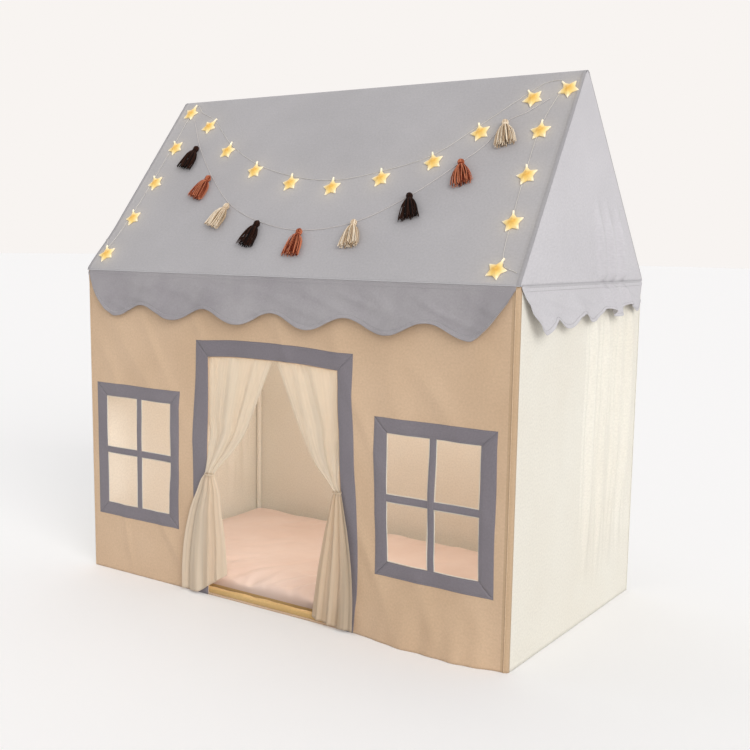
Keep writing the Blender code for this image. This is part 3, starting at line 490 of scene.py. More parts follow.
mid_height = (WINDOW_BASE + WINDOW_TOP) / 2
for side_name, middle in zip(("left", "right"), WINDOW_MIDDLES):
    bands, thread = bmesh.new(), bmesh.new()
    x_low, x_high = middle - WINDOW_HALF, middle + WINDOW_HALF
    corners = [(x_low, WINDOW_BASE), (x_low, WINDOW_TOP), (x_high, WINDOW_TOP),
               (x_high, WINDOW_BASE)]
    for start, end in zip(corners, corners[1:] + corners[:1]):
        add_band(bands, thread, start, end, WINDOW_BAND, (-1, -1))

    def over_bar(flat):
        return 0.0012 * bell(flat.x, middle, BAR * 0.7) - 0.0006

    def upright(flat):
        edge = min(flat.y - WINDOW_BASE, WINDOW_TOP - flat.y)
        return -0.0006 + 0.0016 * rising(edge, 0, 0.05) * sin(flat.y * 21)

    add_band(bands, thread, (middle + BAR / 2, WINDOW_BASE - BAR_TUCK),
             (middle + BAR / 2, WINDOW_TOP + BAR_TUCK), BAR, (0, 0), upright)
    add_band(bands, thread, (x_low - BAR_TUCK, mid_height - BAR / 2),
             (x_high + BAR_TUCK, mid_height - BAR / 2), BAR, (0, 0), over_bar)
    new_piece(f"{side_name}_window_bands", bands, [grey_canvas],
              [f"{side_name}_window_trim"], thick=BAND_CLOTH)
    # A narrow cream binding edges each of the four panes.
    for number, (across, up) in enumerate(((-1, -1), (1, -1), (1, 1), (-1, 1)), start=1):
        pane = [sorted((middle + across * BAR / 2, middle + across * WINDOW_HALF)),
                sorted((mid_height + up * BAR / 2,
                        mid_height + up * (WINDOW_TOP - WINDOW_BASE) / 2))]
        (left, right), (low, high) = [(a + EDGING, b - EDGING) for a, b in pane]
        around = ([(x, low) for x in spaced(left, right, 14)]
                  + [(right, z) for z in spaced(low, high, 18)]
                  + [(x, high) for x in spaced(right, left, 14)]
                  + [(left, z) for z in spaced(high, low, 18)])
        round_cord(f"{side_name}_pane_edging_{number}",
                   [on_front(x, z, -0.0004) for x, z in around], EDGING, cream_piping,
                   "side_canvas")
    new_piece(f"{side_name}_window_stitches", thread, [grey_thread])


# Floor mat. A quilted cotton pad, polyester filled, that lies inside the base rails: a peach
# top that droops a little over a khaki side band. It swells under a short cloth simulation.
MAT_HALF_X, MAT_HALF_Y, MAT_TOP, MAT_START_IN = 0.632, 0.336, 0.056, 0.010
MAT_VOXEL, MAT_PRESSURE, MAT_CAP = 0.010, 4.0, 0.012
MAT_START_THICK, MAT_START_MIDDLE = 0.034, 0.021


def made_real(piece):
    """Applies a piece's modifiers to its mesh."""
    depsgraph = bpy.context.evaluated_depsgraph_get()
    piece.data = bpy.data.meshes.new_from_object(piece.evaluated_get(depsgraph))
    piece.modifiers.clear()


def swollen(piece):
    """Swells a closed mesh with a pressured cloth simulation and keeps each point near home."""
    remesh = piece.modifiers.new("remesh", "REMESH")
    remesh.mode, remesh.voxel_size = "VOXEL", MAT_VOXEL
    made_real(piece)
    home = [vert.co.copy() for vert in piece.data.vertices]
    settings = piece.modifiers.new("cloth", "CLOTH").settings
    settings.use_pressure = True
    settings.uniform_pressure_force = MAT_PRESSURE
    settings.quality = 5
    settings.effector_weights.gravity = 0.0
    for step in range(1, 21):
        bpy.context.scene.frame_set(step)
    made_real(piece)
    bpy.context.scene.frame_set(1)
    for vert, start in zip(piece.data.vertices, home):
        move = vert.co - start
        if move.length > MAT_CAP:
            vert.co = start + move * (MAT_CAP / move.length)


mat_bm = bmesh.new()
bmesh.ops.create_cube(mat_bm, size=1.0)
start = (2 * (MAT_HALF_X - MAT_START_IN), 2 * (MAT_HALF_Y - MAT_START_IN), MAT_START_THICK)
bmesh.ops.scale(mat_bm, verts=mat_bm.verts, vec=start)
bmesh.ops.translate(mat_bm, verts=mat_bm.verts, vec=(0, 0, MAT_START_MIDDLE))
# Brushed cotton: short fibres lifted from a plain weave, so it looks soft and hides its thread.
peach_cotton = woven("peach_brushed_cotton", "#DFCBC0", "#D4BBAD", 0.0024, 0.4, sheen=0.3)
khaki_cotton = woven("khaki_cotton_band", "#D0AE76", "#C29E66", 0.0024, 0.4, sheen=0.2)
mat = new_piece("floor_mat_pad", mat_bm, [peach_cotton, khaki_cotton],
                ["floor_mat"])
swollen(mat)
for vert in mat.data.vertices:
    x, y, z = vert.co
    inside = rising(MAT_HALF_X - abs(x), 0, 0.06) * rising(MAT_HALF_Y - abs(y), 0, 0.04)
    folds = uneven(x * 9 + y * 3, y * 6, 3)
    ruck = abs(uneven(x * 17 - y * 9, y * 12, 8))
    creases = between(0.005, 0.015, rising(-y, 0.10, 0.28)) * (0.4 - ruck)
    tucks = abs(uneven(x * 36 + y * 9, y * 8, 15))
    tucked = rising(-y, 0.22, 0.32) * rising(MAT_HALF_Y - abs(y), 0, 0.012)
    z += rising(z, 0.030, 0.040) * (inside * (0.005 * folds + creases)
                                    + 0.016 * tucked * (0.12 - tucks))
    z = min(MAT_TOP, z)
    vert.co = (max(-MAT_HALF_X, min(MAT_HALF_X, x)), max(-MAT_HALF_Y, min(MAT_HALF_Y, y)),
               0.0 if z < 0.008 else z)
for polygon in mat.data.polygons:
    x, y, z = polygon.center
    polygon.material_index = int(z < 0.017 + 0.006 * uneven(x * 11, y * 11, 1))
mat.data.shade_smooth()
finer = mat.modifiers.new("finer", "SUBSURF")
finer.levels = finer.render_levels = 1

# In the doorway the khaki band laps over the front rail as a tunnel, so the rail doesn't show.
RAIL_HEIGHT, TUNNEL_RADIUS, TUNNEL_PAST_DOOR = 0.0095, 0.0088, 0.02


def on_tunnel(x, turn):
    """A point on the tunnel from its turn round the rail, a little loose on top."""
    loose = 0.0042 * uneven(x * 15, turn, 7) * max(0.0, sin(turn))
    reach = TUNNEL_RADIUS + abs(loose)
    return Vector((x, -POST_Y - reach * cos(turn), RAIL_HEIGHT + reach * sin(turn)))


tunnel_columns = ruled([DOOR_LEFT - TUNNEL_PAST_DOOR, DOOR_RIGHT + TUNNEL_PAST_DOOR], 0.008)
new_piece("front_rail_tunnel",
          cloth_panel(tunnel_columns, spaced(-0.6, 2.9, 22), on_tunnel, (1.0, TUNNEL_RADIUS)),
          [khaki_cotton], thick=0.0004)

# Each corner post stands in a sleeve of the side's cream canvas, sewn into the corner.
SLEEVE_RADIUS, SLEEVE_FOOT, SLEEVE_TOP = 0.00818, 0.030, 0.800
for side_name, side in SIDES:
    for end_name, end in (("front", -1), ("back", 1)):
        def on_sleeve(turn, z):
            return Vector((side * POST_X + SLEEVE_RADIUS * cos(turn),
                           end * POST_Y + SLEEVE_RADIUS * sin(turn), z))

        sleeve = cloth_panel(spaced(0, 2 * pi, 28), ruled([SLEEVE_FOOT, SLEEVE_TOP], 0.02),
                             on_sleeve, (SLEEVE_RADIUS, 1.0))
        new_piece(f"post_sleeve_{end_name}_{side_name}", sleeve, [cream_canvas])


# Curtains. A pair of sheer voile curtains sewn behind the door's head, pleated by hand, tied
# back to the jambs with a strip of cloth, their tails hanging loose below the ties.
DOOR_MIDDLE, DOOR_HALF, VOILE, SLACK_WIDTH, VOILE_HEM = -0.010, 0.208, 0.0008, 0.40, 0.030
CURTAIN_BEHIND, TIE_OUT, TAIL_OUT = 0.0081, 0.0095, 0.0125
CURTAIN_TOP, TAIL_HEM = 0.632, 0.006
PLEAT_DEPTH, CURTAIN_PLEATS, TAIL_PLEATS = 0.0048, 2.4, 3.5
# Share of the drop; inner and outer edge as shares of the half door; way out; pleat depth
CURTAIN_HEAD = [(0.00, 0.020, 1.040, 0.00, 0.60), (0.15, 0.120, 1.045, 0.00, 0.80),
                (0.35, 0.250, 1.050, 0.00, 1.00), (0.53, 0.370, 1.045, 0.00, 1.00)]
CURTAIN_TABLES = {
    "left": CURTAIN_HEAD + [(0.64, 0.460, 0.990, 0.00, 1.00), (0.80, 0.620, 0.990, 0.45, 0.80),
                            (0.94, 0.810, 0.992, 0.94, 0.55), (1.00, 0.868, 1.012, 1.00, 0.40)],
    "right": CURTAIN_HEAD + [(0.64, 0.450, 0.983, 0.00, 1.00), (0.80, 0.625, 0.990, 0.45, 0.80),
                             (0.94, 0.870, 1.010, 0.94, 0.50), (1.00, 0.948, 1.056, 1.00, 0.35)]}
TAIL_TABLES = {
    "left": [(0.00, 0.868, 1.012, 0.00, 0.45), (0.05, 0.835, 1.070, 0.08, 0.75),
             (0.14, 0.785, 1.130, 0.20, 0.90), (0.30, 0.745, 1.240, 0.50, 1.00),
             (0.52, 0.690, 1.330, 0.83, 1.05), (0.76, 0.660, 1.375, 1.00, 1.10),
             (1.00, 0.650, 1.390, 1.00, 1.10)],
    "right": [(0.00, 0.948, 1.056, 0.00, 0.40), (0.05, 0.922, 1.078, 0.08, 0.65),
              (0.14, 0.890, 1.110, 0.20, 0.85), (0.30, 0.832, 1.165, 0.50, 1.00),
              (0.52, 0.765, 1.220, 0.83, 1.05), (0.76, 0.705, 1.250, 1.00, 1.10),
              (1.00, 0.655, 1.245, 1.00, 1.10)]}


def table_at(table, key):
    """The values between a table's rows, on a smooth curve through them."""
    index = max(i for i in range(len(table) - 1) if table[i][0] <= key or i == 0)
    before, low = table[max(0, index - 1)], table[index]
    high, after = table[index + 1], table[min(len(table) - 1, index + 2)]
    span = high[0] - low[0]
    t = (key - low[0]) / span
    found = []
    for column in range(1, len(low)):
        into = (high[column] - before[column]) / (high[0] - before[0]) * span
        out = (after[column] - low[column]) / (after[0] - low[0]) * span
        found.append(low[column] * (2 * t ** 3 - 3 * t * t + 1) + into * (t ** 3 - 2 * t * t + t)
                     + high[column] * (3 * t * t - 2 * t ** 3) + out * (t ** 3 - t * t))
    return found


def pleated(side, table, fronts, heights, hem_lift, pleats, seed):
    """A place function for voile between two heights, hung in broad uneven pleats."""
    def place(s, row):
        across = s if side > 0 else 1 - s
        drop = -row
        inner, outer, way_out, depth = table_at(table, drop)
        turn = 2 * pi * (pleats * across + 0.30 * uneven(across * 3, drop * 1.2, seed))
        wave = 0.78 * cos(turn) + 0.22 * cos(2.3 * turn + 1.0)
        full = 0.75 + 0.5 * uneven(across * 4, drop * 1.6, seed + 5)
        fold = PLEAT_DEPTH * depth * min(1.0, full) * wave
        lift = hem_lift * drop ** 3 * max(0.0, 1 - 1.6 * across)
        return Vector((DOOR_MIDDLE + side * DOOR_HALF * between(inner, outer, across),
                       -HALF_DEPTH - between(*fronts, way_out) + fold,
                       between(*heights, drop) + lift))
    return place


def voile_cloth(name, colour, thin, dense):
    """Sheer plain weave: denser where it gathers into a fold and along its doubled edges."""
    finish, add, shader = start_finish(name, colour, 0.85, 0.1, 0.2)
    place = add("TexCoord", "UV")
    slub = add("TexNoise", "Fac", Vector=place, Scale=0.4 / VOILE_THREAD, Detail=2.0)
    ribs = add("TexWave", "Fac", Vector=place, Distortion=0.6, Scale=WAVE_PITCH / VOILE_THREAD,
               bands_direction="X")
    height = add("Math", "Value", {0: slub, 1: ribs}, operation="ADD")
    bump = add("Bump", "Normal", Height=height, Strength=0.2, Distance=VOILE_THREAD * 0.2)
    drawn = add("VectorMath", "Vector", {0: place, 1: (9.0, 0.8, 0.0)}, operation="MULTIPLY")
    folds = add("TexNoise", "Fac", Vector=drawn, Scale=1.0, Detail=3.0, Roughness=0.65)
    gathered = add("MapRange", "Result", Value=folds, From_Min=0.36, From_Max=0.66, To_Min=thin,
                   To_Max=dense)
    width = add("SeparateXYZ", "X", Vector=place)
    off_middle = add("Math", "Value", {0: width, 1: SLACK_WIDTH / 2}, operation="SUBTRACT")
    away = add("Math", "Value", {0: off_middle}, operation="ABSOLUTE")
    hemmed = add("MapRange", "Result", Value=away, From_Min=SLACK_WIDTH / 2 - VOILE_HEM,
                 From_Max=SLACK_WIDTH / 2 - VOILE_HEM * 0.7, To_Max=dense)
    alpha = add("Math", "Value", {0: gathered, 1: hemmed}, operation="MAXIMUM")
    feed(shader, {"Normal": bump, "Alpha": alpha})
    through = add("BsdfTranslucent", "BSDF", Color=linear(colour))
    mixed = add("MixShader", "Shader", {0: 0.25, 1: shader.outputs["BSDF"], 2: through})
    feed(finish.node_tree.nodes["Material Output"], {"Surface": mixed})
    return finish


# Cotton-polyester voile, about 28 threads to the centimetre, drawn at 1.4 mm so that it shows.
# The tails hang gathered below the tie, so their cloth looks denser. The right tail's looser voile
# is painted darker: painted shade.
VOILE_THREAD = 0.0014
cream_voile = voile_cloth("cream_cotton_voile", "#E7DDCC", 0.26, 0.72)
gathered_voile = voile_cloth("gathered_cotton_voile", "#EADAC4", 0.60, 0.95)
looser_shaded_voile = voile_cloth("looser_cotton_voile_painted_shade", "#DCCAB2", 0.45, 0.86)
CURTAIN_FLAT, TIE_CLOTH, TIE_MIDDLE, TIE_DEPTH, TIE_SAG = 0.165, 0.0006, 0.00975, 0.0055, 0.0016
columns = spaced(0, 1, 96)

# Height and half width of the tie, the tail's flat width, how far its inner hem lifts, its voile
for (side_name, side), (tie, tie_half, tail_flat, hem_lift, tail_voile) in zip(SIDES, (
        (0.322, 0.0165, 0.165, 0.062, gathered_voile),
        (0.334, 0.0128, 0.135, 0.012, looser_shaded_voile))):
    upper_drop = CURTAIN_TOP - tie
    hang = pleated(side, CURTAIN_TABLES[side_name], (-CURTAIN_BEHIND, TIE_OUT),
                   (CURTAIN_TOP, tie), 0.0, CURTAIN_PLEATS, 3.0 + side)
    upper = new_piece(f"{side_name}_curtain_voile",
                      cloth_panel(columns, spaced(-1, 0, 56), hang, (SLACK_WIDTH, upper_drop)),
                      [cream_voile], [f"{side_name}_curtain"], thick=VOILE)
    tail_drop = tie - GAP - TAIL_HEM
    hang = pleated(side, TAIL_TABLES[side_name], (TIE_OUT, TAIL_OUT), (tie - GAP, TAIL_HEM),
                   hem_lift, TAIL_PLEATS, 13.0 + side)
    tail = new_piece(f"{side_name}_tail_voile",
                     cloth_panel(columns, spaced(-1, 0, 48), hang, (SLACK_WIDTH, tail_drop)),
                     [tail_voile], [f"{side_name}_curtain_tail"], f"{side_name}_tail",
                     VOILE)

    inner, outer = CURTAIN_TABLES[side_name][-1][1:3]
    loop_x = DOOR_MIDDLE + side * DOOR_HALF * (inner + outer) / 2
    ring = bmesh.new()
    for height, narrow in ((-0.0020, 0.97), (-0.0015, 1.0), (0.0015, 1.0), (0.0020, 0.97)):
        made = bmesh.ops.create_circle(ring, cap_ends=False, segments=28, radius=1.0)["verts"]
        for vert in made:
            sag = TIE_SAG * sin(atan2(vert.co.y, vert.co.x))
            vert.co = Vector((loop_x + vert.co.x * tie_half * narrow,
                              -HALF_DEPTH - TIE_MIDDLE + vert.co.y * TIE_DEPTH * narrow,
                              tie + height + sag))
    bmesh.ops.bridge_loops(ring, edges=[edge for edge in ring.edges if edge.is_wire])
    bmesh.ops.recalc_face_normals(ring, faces=ring.faces)
    new_piece(f"{side_name}_tie_back", ring, [tail_voile], thick=TIE_CLOTH)


# Roof and gables. One length of pale grey canvas over the ridge, with a gable sewn under each
# end of it. It is drawn tight over ridge and eaves and gives a little between the rafters.
RIDGE_HEIGHT, GABLE_LEAN, TUBE = 1.3156, 0.023, 0.008
ROOF_SLACK, SEAM_WIDTH = 0.0030, 0.010
RIDGE_Z = RIDGE_HEIGHT - CORNER
SLOPE = atan2(RIDGE_Z - EAVE_HEIGHT, POST_Y)
SLOPE_LENGTH = hypot(RIDGE_Z - EAVE_HEIGHT, POST_Y)
SLOPE_COS, SLOPE_SIN = cos(SLOPE), sin(SLOPE)
ROOF_REACH = SLOPE_LENGTH + CORNER
ROOF_UP, ROOF_OUT = Vector((0, SLOPE_COS, SLOPE_SIN)), Vector((0, -SLOPE_SIN, SLOPE_COS))
EAVE_ARC, RIDGE_ARC = CORNER * (pi / 2 - SLOPE), CORNER * 2 * SLOPE


def half_length(height):
    """Half the roof's length at a height: the gables lean in towards the ridge."""
    share = (height - EAVE_HEIGHT) / (RIDGE_HEIGHT - EAVE_HEIGHT)
    return between(HALF_WIDTH, HALF_WIDTH - GABLE_LEAN, share)


def roof_slack(across, up):
    """How far a slope's cloth gives between the rafters, the eave rail and the ridge pole."""
    free = rising(1 - abs(across), 0.02, 0.30) * rising(up, 0.02, 0.30) * rising(1 - up, 0.02, 0.3)
    soft = uneven(across * 1.6, up * 1.9, 6)
    crease = uneven(across * 6 + up * 3, up * 4 - across * 2, 12)
    return free * (ROOF_SLACK * (0.65 + 0.6 * soft) + 0.0007 * crease)


def off_slope(up, reach):
    """The y and z of a place up the front slope, from its reach off the frame's middle line."""
    return (-POST_Y + up * SLOPE_COS - reach * SLOPE_SIN,
            EAVE_HEIGHT + up * SLOPE_SIN + reach * SLOPE_COS)


def roof_place(across, up_share, lift):
    """A point over the slack front slope from its shares across and up."""
    y, z = off_slope(up_share * ROOF_REACH, CORNER + lift)
    return Vector((across * half_length(z), y, z)) - ROOF_OUT * roof_slack(across, up_share)


def on_roof(across, run):
    """The roof cloth from its share across and its run over eave, slope, ridge and slope."""
    half_run = EAVE_ARC + SLOPE_LENGTH + RIDGE_ARC / 2
    back = run > half_run
    way = 2 * half_run - run if back else run
    if way < EAVE_ARC:
        turn = way / CORNER
        y, z = -POST_Y - CORNER * cos(turn), EAVE_HEIGHT + CORNER * sin(turn)
    elif way < EAVE_ARC + SLOPE_LENGTH:
        up = way - EAVE_ARC
        reach = CORNER - roof_slack(across + 7 * back, up / ROOF_REACH)
        edge = (1 - abs(across)) * HALF_WIDTH
        reach += 0.0010 * rising(-edge, -SEAM_WIDTH - 0.0015, -SEAM_WIDTH)
        reach += 0.0004 * uneven(edge * 60, up * 45, 9) * rising(-edge, -0.03, 0)
        y, z = off_slope(up, reach)
    else:
        turn = SLOPE - (way - EAVE_ARC - SLOPE_LENGTH) / CORNER
        y, z = -CORNER * sin(turn), RIDGE_Z + CORNER * cos(turn)
    return Vector((across * half_length(z), -y if back else y, z))


# The same cotton canvas dyed a pale warm grey; the gables and the valances are cut from it too.
# The roof's length is painted a shade darker than the gables: painted shade on its slopes.
# A flat-felled seam, two more layers of cloth, runs up each rake, painted darker still: painted
# shade.
pale_canvas = woven("pale_grey_cotton_canvas", "#CDCACD", "#C3C0C3", CANVAS_THREAD, 0.32)
roof_canvas = woven("pale_grey_roof_canvas_painted_shade", "#B7B4B6", "#ADAAAC", CANVAS_THREAD, 0.32)
rake_seam_painted_shade = woven("felled_seam_canvas_painted_shade", "#AAA7A9", "#A19EA1", CANVAS_THREAD, 0.32)
roof_run = 2 * (EAVE_ARC + SLOPE_LENGTH) + RIDGE_ARC
roof_marks = [0, EAVE_ARC, EAVE_ARC + SLOPE_LENGTH, EAVE_ARC + SLOPE_LENGTH + RIDGE_ARC,
              roof_run - EAVE_ARC, roof_run]
roof_rows = set(ruled(roof_marks, 0.010))
for first, count in ((0, 4), (2, 10), (4, 4)):
    roof_rows |= set(spaced(roof_marks[first], roof_marks[first + 1], count))
seam_share = 1 - SEAM_WIDTH / HALF_WIDTH
seam_columns = [seam_share - 0.0025, seam_share, (seam_share + 1) / 2, 1]
roof_columns = ([-share for share in reversed(seam_columns)]
                + spaced(-seam_columns[0], seam_columns[0], 128)[1:-1] + seam_columns)
roof_bm = cloth_panel(roof_columns, sorted(roof_rows), on_roof, (HALF_WIDTH, 1.0))
# Faces over the rake seams take the seam's painted shade.
for face in roof_bm.faces:
    middle = face.calc_center_median()
    face.material_index = int(abs(middle.x) > seam_share * half_length(middle.z))
stretch("roof_cloth", roof_bm, [roof_canvas, rake_seam_painted_shade], "roof_canvas", "roof_cover",
        (2 * HALF_WIDTH, roof_run), ["ridge_pole", "eave_rail_front", "eave_rail_back"])


def gable_half(z):
    """Half the depth of a gable at a height, up to the roof cloth's inner face."""
    rise = (z - EAVE_HEIGHT) / TUBE
    if rise < SLOPE_COS:
        return POST_Y + TUBE * sqrt(max(0.0, 1 - rise * rise))
    past = (z - RIDGE_Z) / TUBE
    if past > SLOPE_COS:
        return TUBE * sqrt(max(0.003, 1 - past * past))
    up = (z - EAVE_HEIGHT - TUBE * SLOPE_COS) / SLOPE_SIN
    return POST_Y - up * SLOPE_COS + TUBE * SLOPE_SIN


END_FOLDS, END_FOLD_DEPTH, END_FOLD_WIDTH = (0.083, 0.141, 0.206), 0.0165, 0.014


def end_folds(y, z):
    """The soft folds that run down through a gable and the valance under it."""
    lean = 0.17 * (EAVE_HEIGHT - z)
    folds = sum(bell(y, middle + lean, END_FOLD_WIDTH) for middle in END_FOLDS)
    return END_FOLD_DEPTH * folds * rising(-z, -1.04, -0.92)


def on_gable(side, s, z):
    """A gable's cloth, with three soft upright folds in its rear half."""
    y = side * s * gable_half(z)
    edge = rising(gable_half(z) - abs(y), 0, 0.05) * rising(z, EAVE_HEIGHT, EAVE_HEIGHT + 0.02)
    soft = 0.0030 * uneven(y * 5, z * 4, 21 + side)
    return Vector((side * (half_length(z) + edge * (end_folds(y, z) + soft)), y, z))


gable_rows = ruled([EAVE_HEIGHT, RIDGE_Z + TUBE], 0.008)
gable_rise = RIDGE_Z + TUBE - EAVE_HEIGHT
for side_name, side in SIDES:
    gable_bm = cloth_panel(spaced(-1, 1, 170), gable_rows, lambda s, z: on_gable(side, s, z),
                           (HALF_DEPTH * 0.5, 1.0))
    stretch(f"{side_name}_gable_cloth", gable_bm, [pale_canvas], "roof_canvas",
            f"{side_name}_gable", (2 * HALF_DEPTH, gable_rise),
            [f"rafter_front_{side_name}", f"rafter_back_{side_name}"],
            area=HALF_DEPTH * gable_rise)


# Valances. A scalloped strip of the pale grey canvas along each eave, its head sewn flat with
# two rows of stitches, its lower edge turned up in a narrow hem. Each hangs free.
FRONT_DROP, SIDE_DROP_NEAR, SIDE_DROP_FAR, SIDE_DROP_MEAN = 0.1185, 0.105, 0.071, 0.088
FRONT_SCALLOP, SIDE_SCALLOP, FRONT_TAPER, SIDE_TAPER, END_DEPTH = 0.033, 0.025, 0.095, 0.064, 0.006
FRONT_FLARE, SIDE_FLARE_NEAR, SIDE_FLARE_FAR, VALANCE_WAVE = 0.0165, 0.028, 0.010, 0.0045
VALANCE_TOP = EAVE_HEIGHT - HEM_LIFT
HEAD_ROW, HEAD_BAND, HEM_SHARE, BEND_DEPTH = 0.0022, 0.0105, 0.925, 0.024
HEM_ROW, VALANCE_PITCH, STITCH_OUT = HEM_SHARE - 0.012, 0.0045, 0.0003
# Half length, lobes, drop, rise of the scallops and length of the tapered ends
LONG_STRIP = (HALF_WIDTH - CORNER, 6, FRONT_DROP, FRONT_SCALLOP, FRONT_TAPER)
END_STRIP = (HALF_DEPTH - 0.0055, 5, SIDE_DROP_MEAN, SIDE_SCALLOP, SIDE_TAPER)


def scallop(along, half, lobes, drop, rise, taper):
    """How far a valance hangs at a place along it; the end lobes taper up to the corner."""
    low = half - taper
    past = (abs(along) - low) / taper
    if past > 0:
        return max(END_DEPTH, drop * max(0.0, 1 - past ** 1.3) ** (1 / 1.3))
    step = 2 * low / (lobes - 1)
    return drop - rise * abs(sin(pi * (along + low) / step)) ** 2.2


def relief(metres, down, depth, seed):
    """The sewn head, the turned hem and the creases between them, as a lift off the cloth."""
    sewn = -0.0003 * (bell(depth, HEAD_ROW, 0.0008) + bell(depth, HEAD_BAND, 0.0009))
    hem = 0.0005 * rising(down, HEM_SHARE - 0.01, HEM_SHARE + 0.015)
    hem -= 0.0006 * bell(down, HEM_ROW, 0.010)
    crease = uneven(metres * 34 + depth * 22, depth * 7, seed)
    drag = abs(uneven(metres * 7 - depth * 20, depth * 16, seed + 7))
    pucker = uneven(metres * 90, depth * 20, seed + 3)
    soft = 0.0018 * crease + 0.0032 * max(0.0, 1 - 4 * drag)
    return (sewn + hem + rising(depth, HEAD_BAND, HEAD_BAND + 0.03) * soft
            + 0.00025 * pucker * rising(-depth, -0.012, -0.004))


def hung(long, sign, s, down):
    """A valance's outer face; one on a side flares most by the front corner."""
    half, lobes, drop, rise, taper = LONG_STRIP if long else END_STRIP
    flare, wave = FRONT_FLARE, -VALANCE_WAVE * cos(pi * s * 5)
    if not long:
        drop = between(SIDE_DROP_NEAR, SIDE_DROP_FAR, (s + 1) / 2)
        flare = between(SIDE_FLARE_NEAR, SIDE_FLARE_FAR, (s + 1) / 2)
        wave = VALANCE_WAVE * cos(pi * (s * 4 + 1))
    along = s * half
    full = scallop(along, half, lobes, drop, rise, taper)
    depth = down * full
    out = GAP + down ** 1.3 * min(1.0, full / (drop - rise)) * (flare + wave) + CLOTH
    out += relief(along, down, depth, (40 if long else 60) + sign)
    if long:
        return Vector((along, sign * (HALF_DEPTH + out), VALANCE_TOP - depth))
    out += end_folds(along, VALANCE_TOP - depth) * rising(depth, 0, 0.018)
    return Vector((sign * (HALF_WIDTH + out), along, VALANCE_TOP - depth))


VALANCE_ROWS = sorted({-1.0, -0.985, -0.965, -0.945, -0.93, -0.92, -0.91, -0.90, -0.88, 0.0}
                      | {-share for share in spaced(0.15, 0.85, 14)}
                      | {-share for share in (0.02, 0.03, 0.07, 0.085, 0.095, 0.105, 0.12)})
# Core-spun polyester thread, a shade off the canvas.
pale_thread = spun_yarn("pale_polyester_thread", "#B9B6B8", "#ABA8AA", 0.0006)
# The front and back strips are painted a little darker than the pale canvas: painted shade on the
# long valances.
long_valance_shade_canvas = woven("pale_grey_long_valance_painted_shade", "#ABA7A9", "#979296", CANVAS_THREAD, 0.32,
                     drift=5.0)
# Each faces out along its sign, and the way says which end its length starts from.
for name, long, sign, way, canvas in (
        ("front", True, -1, 1, long_valance_shade_canvas), ("back", True, 1, -1, long_valance_shade_canvas),
        ("left", False, -1, -1, pale_canvas), ("right", False, 1, 1, pale_canvas)):
    strip, outward = ((LONG_STRIP, Vector((0, sign, 0))) if long
                      else (END_STRIP, Vector((sign, 0, 0))))
    half, drop = strip[0], strip[2]
    columns = spaced(-1, 1, round(2 * half / VALANCE_PITCH))
    valance_bm = cloth_panel(columns, VALANCE_ROWS,
                             lambda s, row: hung(long, sign, way * s, -row), (half, drop))
    valance = new_piece(f"{name}_valance_cloth", valance_bm, [canvas],
                        [f"{name}_valance"], None, CLOTH)
    thread = bmesh.new()
    places = spaced(-0.96, 0.96, round(2 * half / STITCH_PITCH))
    fulls = [VALANCE_TOP - hung(long, sign, way * s, 1.0).z for s in places]
    for depth in (HEAD_ROW, HEAD_BAND):
        sew(thread, [hung(long, sign, way * s, depth / full) + outward * STITCH_OUT
                     for s, full in zip(places, fulls) if depth < HEM_SHARE * full], outward)
    sew(thread, [hung(long, sign, way * s, HEM_ROW) + outward * STITCH_OUT for s in places],
        outward)
    stitches = new_piece(f"{name}_valance_stitches", thread, [pale_thread],
                         body=None)
    # The strip and its stitches take their placing into their meshes.
    for piece in (valance, stitches):
        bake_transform(piece)
    depths = [scallop(s * half, *strip) for s in spaced(-1, 1, 200)]
    min(sum(depths) / len(depths), drop) * 2 * half


# Roof piping. A thin cord in a bias strip of the pale canvas, caught in the eave seams between
# the roof, the gables and the valances.
pale_piping = spun_yarn("pale_bias_piping", "#C6C4C6", "#BCBABC", 0.0012)
for end_name, end in (("front", -1), ("back", 1)):
    eave = Vector((HALF_WIDTH - 0.001, end * (HALF_DEPTH + 0.0006), EAVE_HEIGHT + 0.0008))
    round_cord(f"eave_piping_{end_name}",
               [Vector((x, eave.y, eave.z)) for x in spaced(-eave.x, eave.x, 60)], PIPING,
               pale_piping, "roof_canvas")
for side_name, side in SIDES:
    x, z = side * (HALF_WIDTH + PIPING_OUT), EAVE_HEIGHT + PIPING_OUT
    round_cord(f"eave_piping_{side_name}",
               [Vector((x, y, z)) for y in spaced(-POST_Y, POST_Y, 60)], PIPING, pale_piping,
               "roof_canvas")


# Star lights. Nineteen moulded star covers on a thin two-core wire, pinned down the left rake,
# across the slope in a swag and down the right rake; its battery case is on the left gable.
WIRE_RADIUS, ROUTE_STEP = 0.00075, 0.012
WIRE_TURN_LEFT, WIRE_TURN_RIGHT, WIRE_END = (-0.852, 0.915), (0.862, 0.942), (0.975, 0.045)
STAR_RADIUS, STAR_HOLD, STAR_NOTCH, STAR_EDGE, STAR_PEAK = 0.0262, 0.025, 0.56, 0.0030, 0.0065
STAR_BEVEL, HOOK_FOOT, HOOK_TIP, HOOK_LENGTH, HOOK_RISE = 0.0006, 0.0027, 0.0022, 0.011, 0.0026
CASE_LENGTH, CASE_ABOVE_EAVE, CASE_FROM_MIDDLE = 0.070, 0.076, 0.190
# Share across, share up, and the turn of the upper tip in degrees
LEFT_RAKE_STARS = [(-0.941, 0.077, -30), (-0.917, 0.283, -29), (-0.902, 0.488, -38),
                   (-0.899, 0.699, -37), (-0.925, 0.916, 12)]
SWAG_STARS = [(-0.764, 0.823, 29), (-0.575, 0.667, 2), (-0.361, 0.545, -11),
              (-0.139, 0.470, -13), (0.077, 0.441, -12), (0.291, 0.482, -18),
              (0.494, 0.560, -23), (0.648, 0.702, -25), (0.820, 0.860, -37)]
RIGHT_RAKE_STARS = [(0.953, 0.896, -44), (0.893, 0.692, -7), (0.898, 0.477, -18),
                    (0.902, 0.261, -13), (0.899, 0.052, 18)]
STARS = LEFT_RAKE_STARS + SWAG_STARS + RIGHT_RAKE_STARS


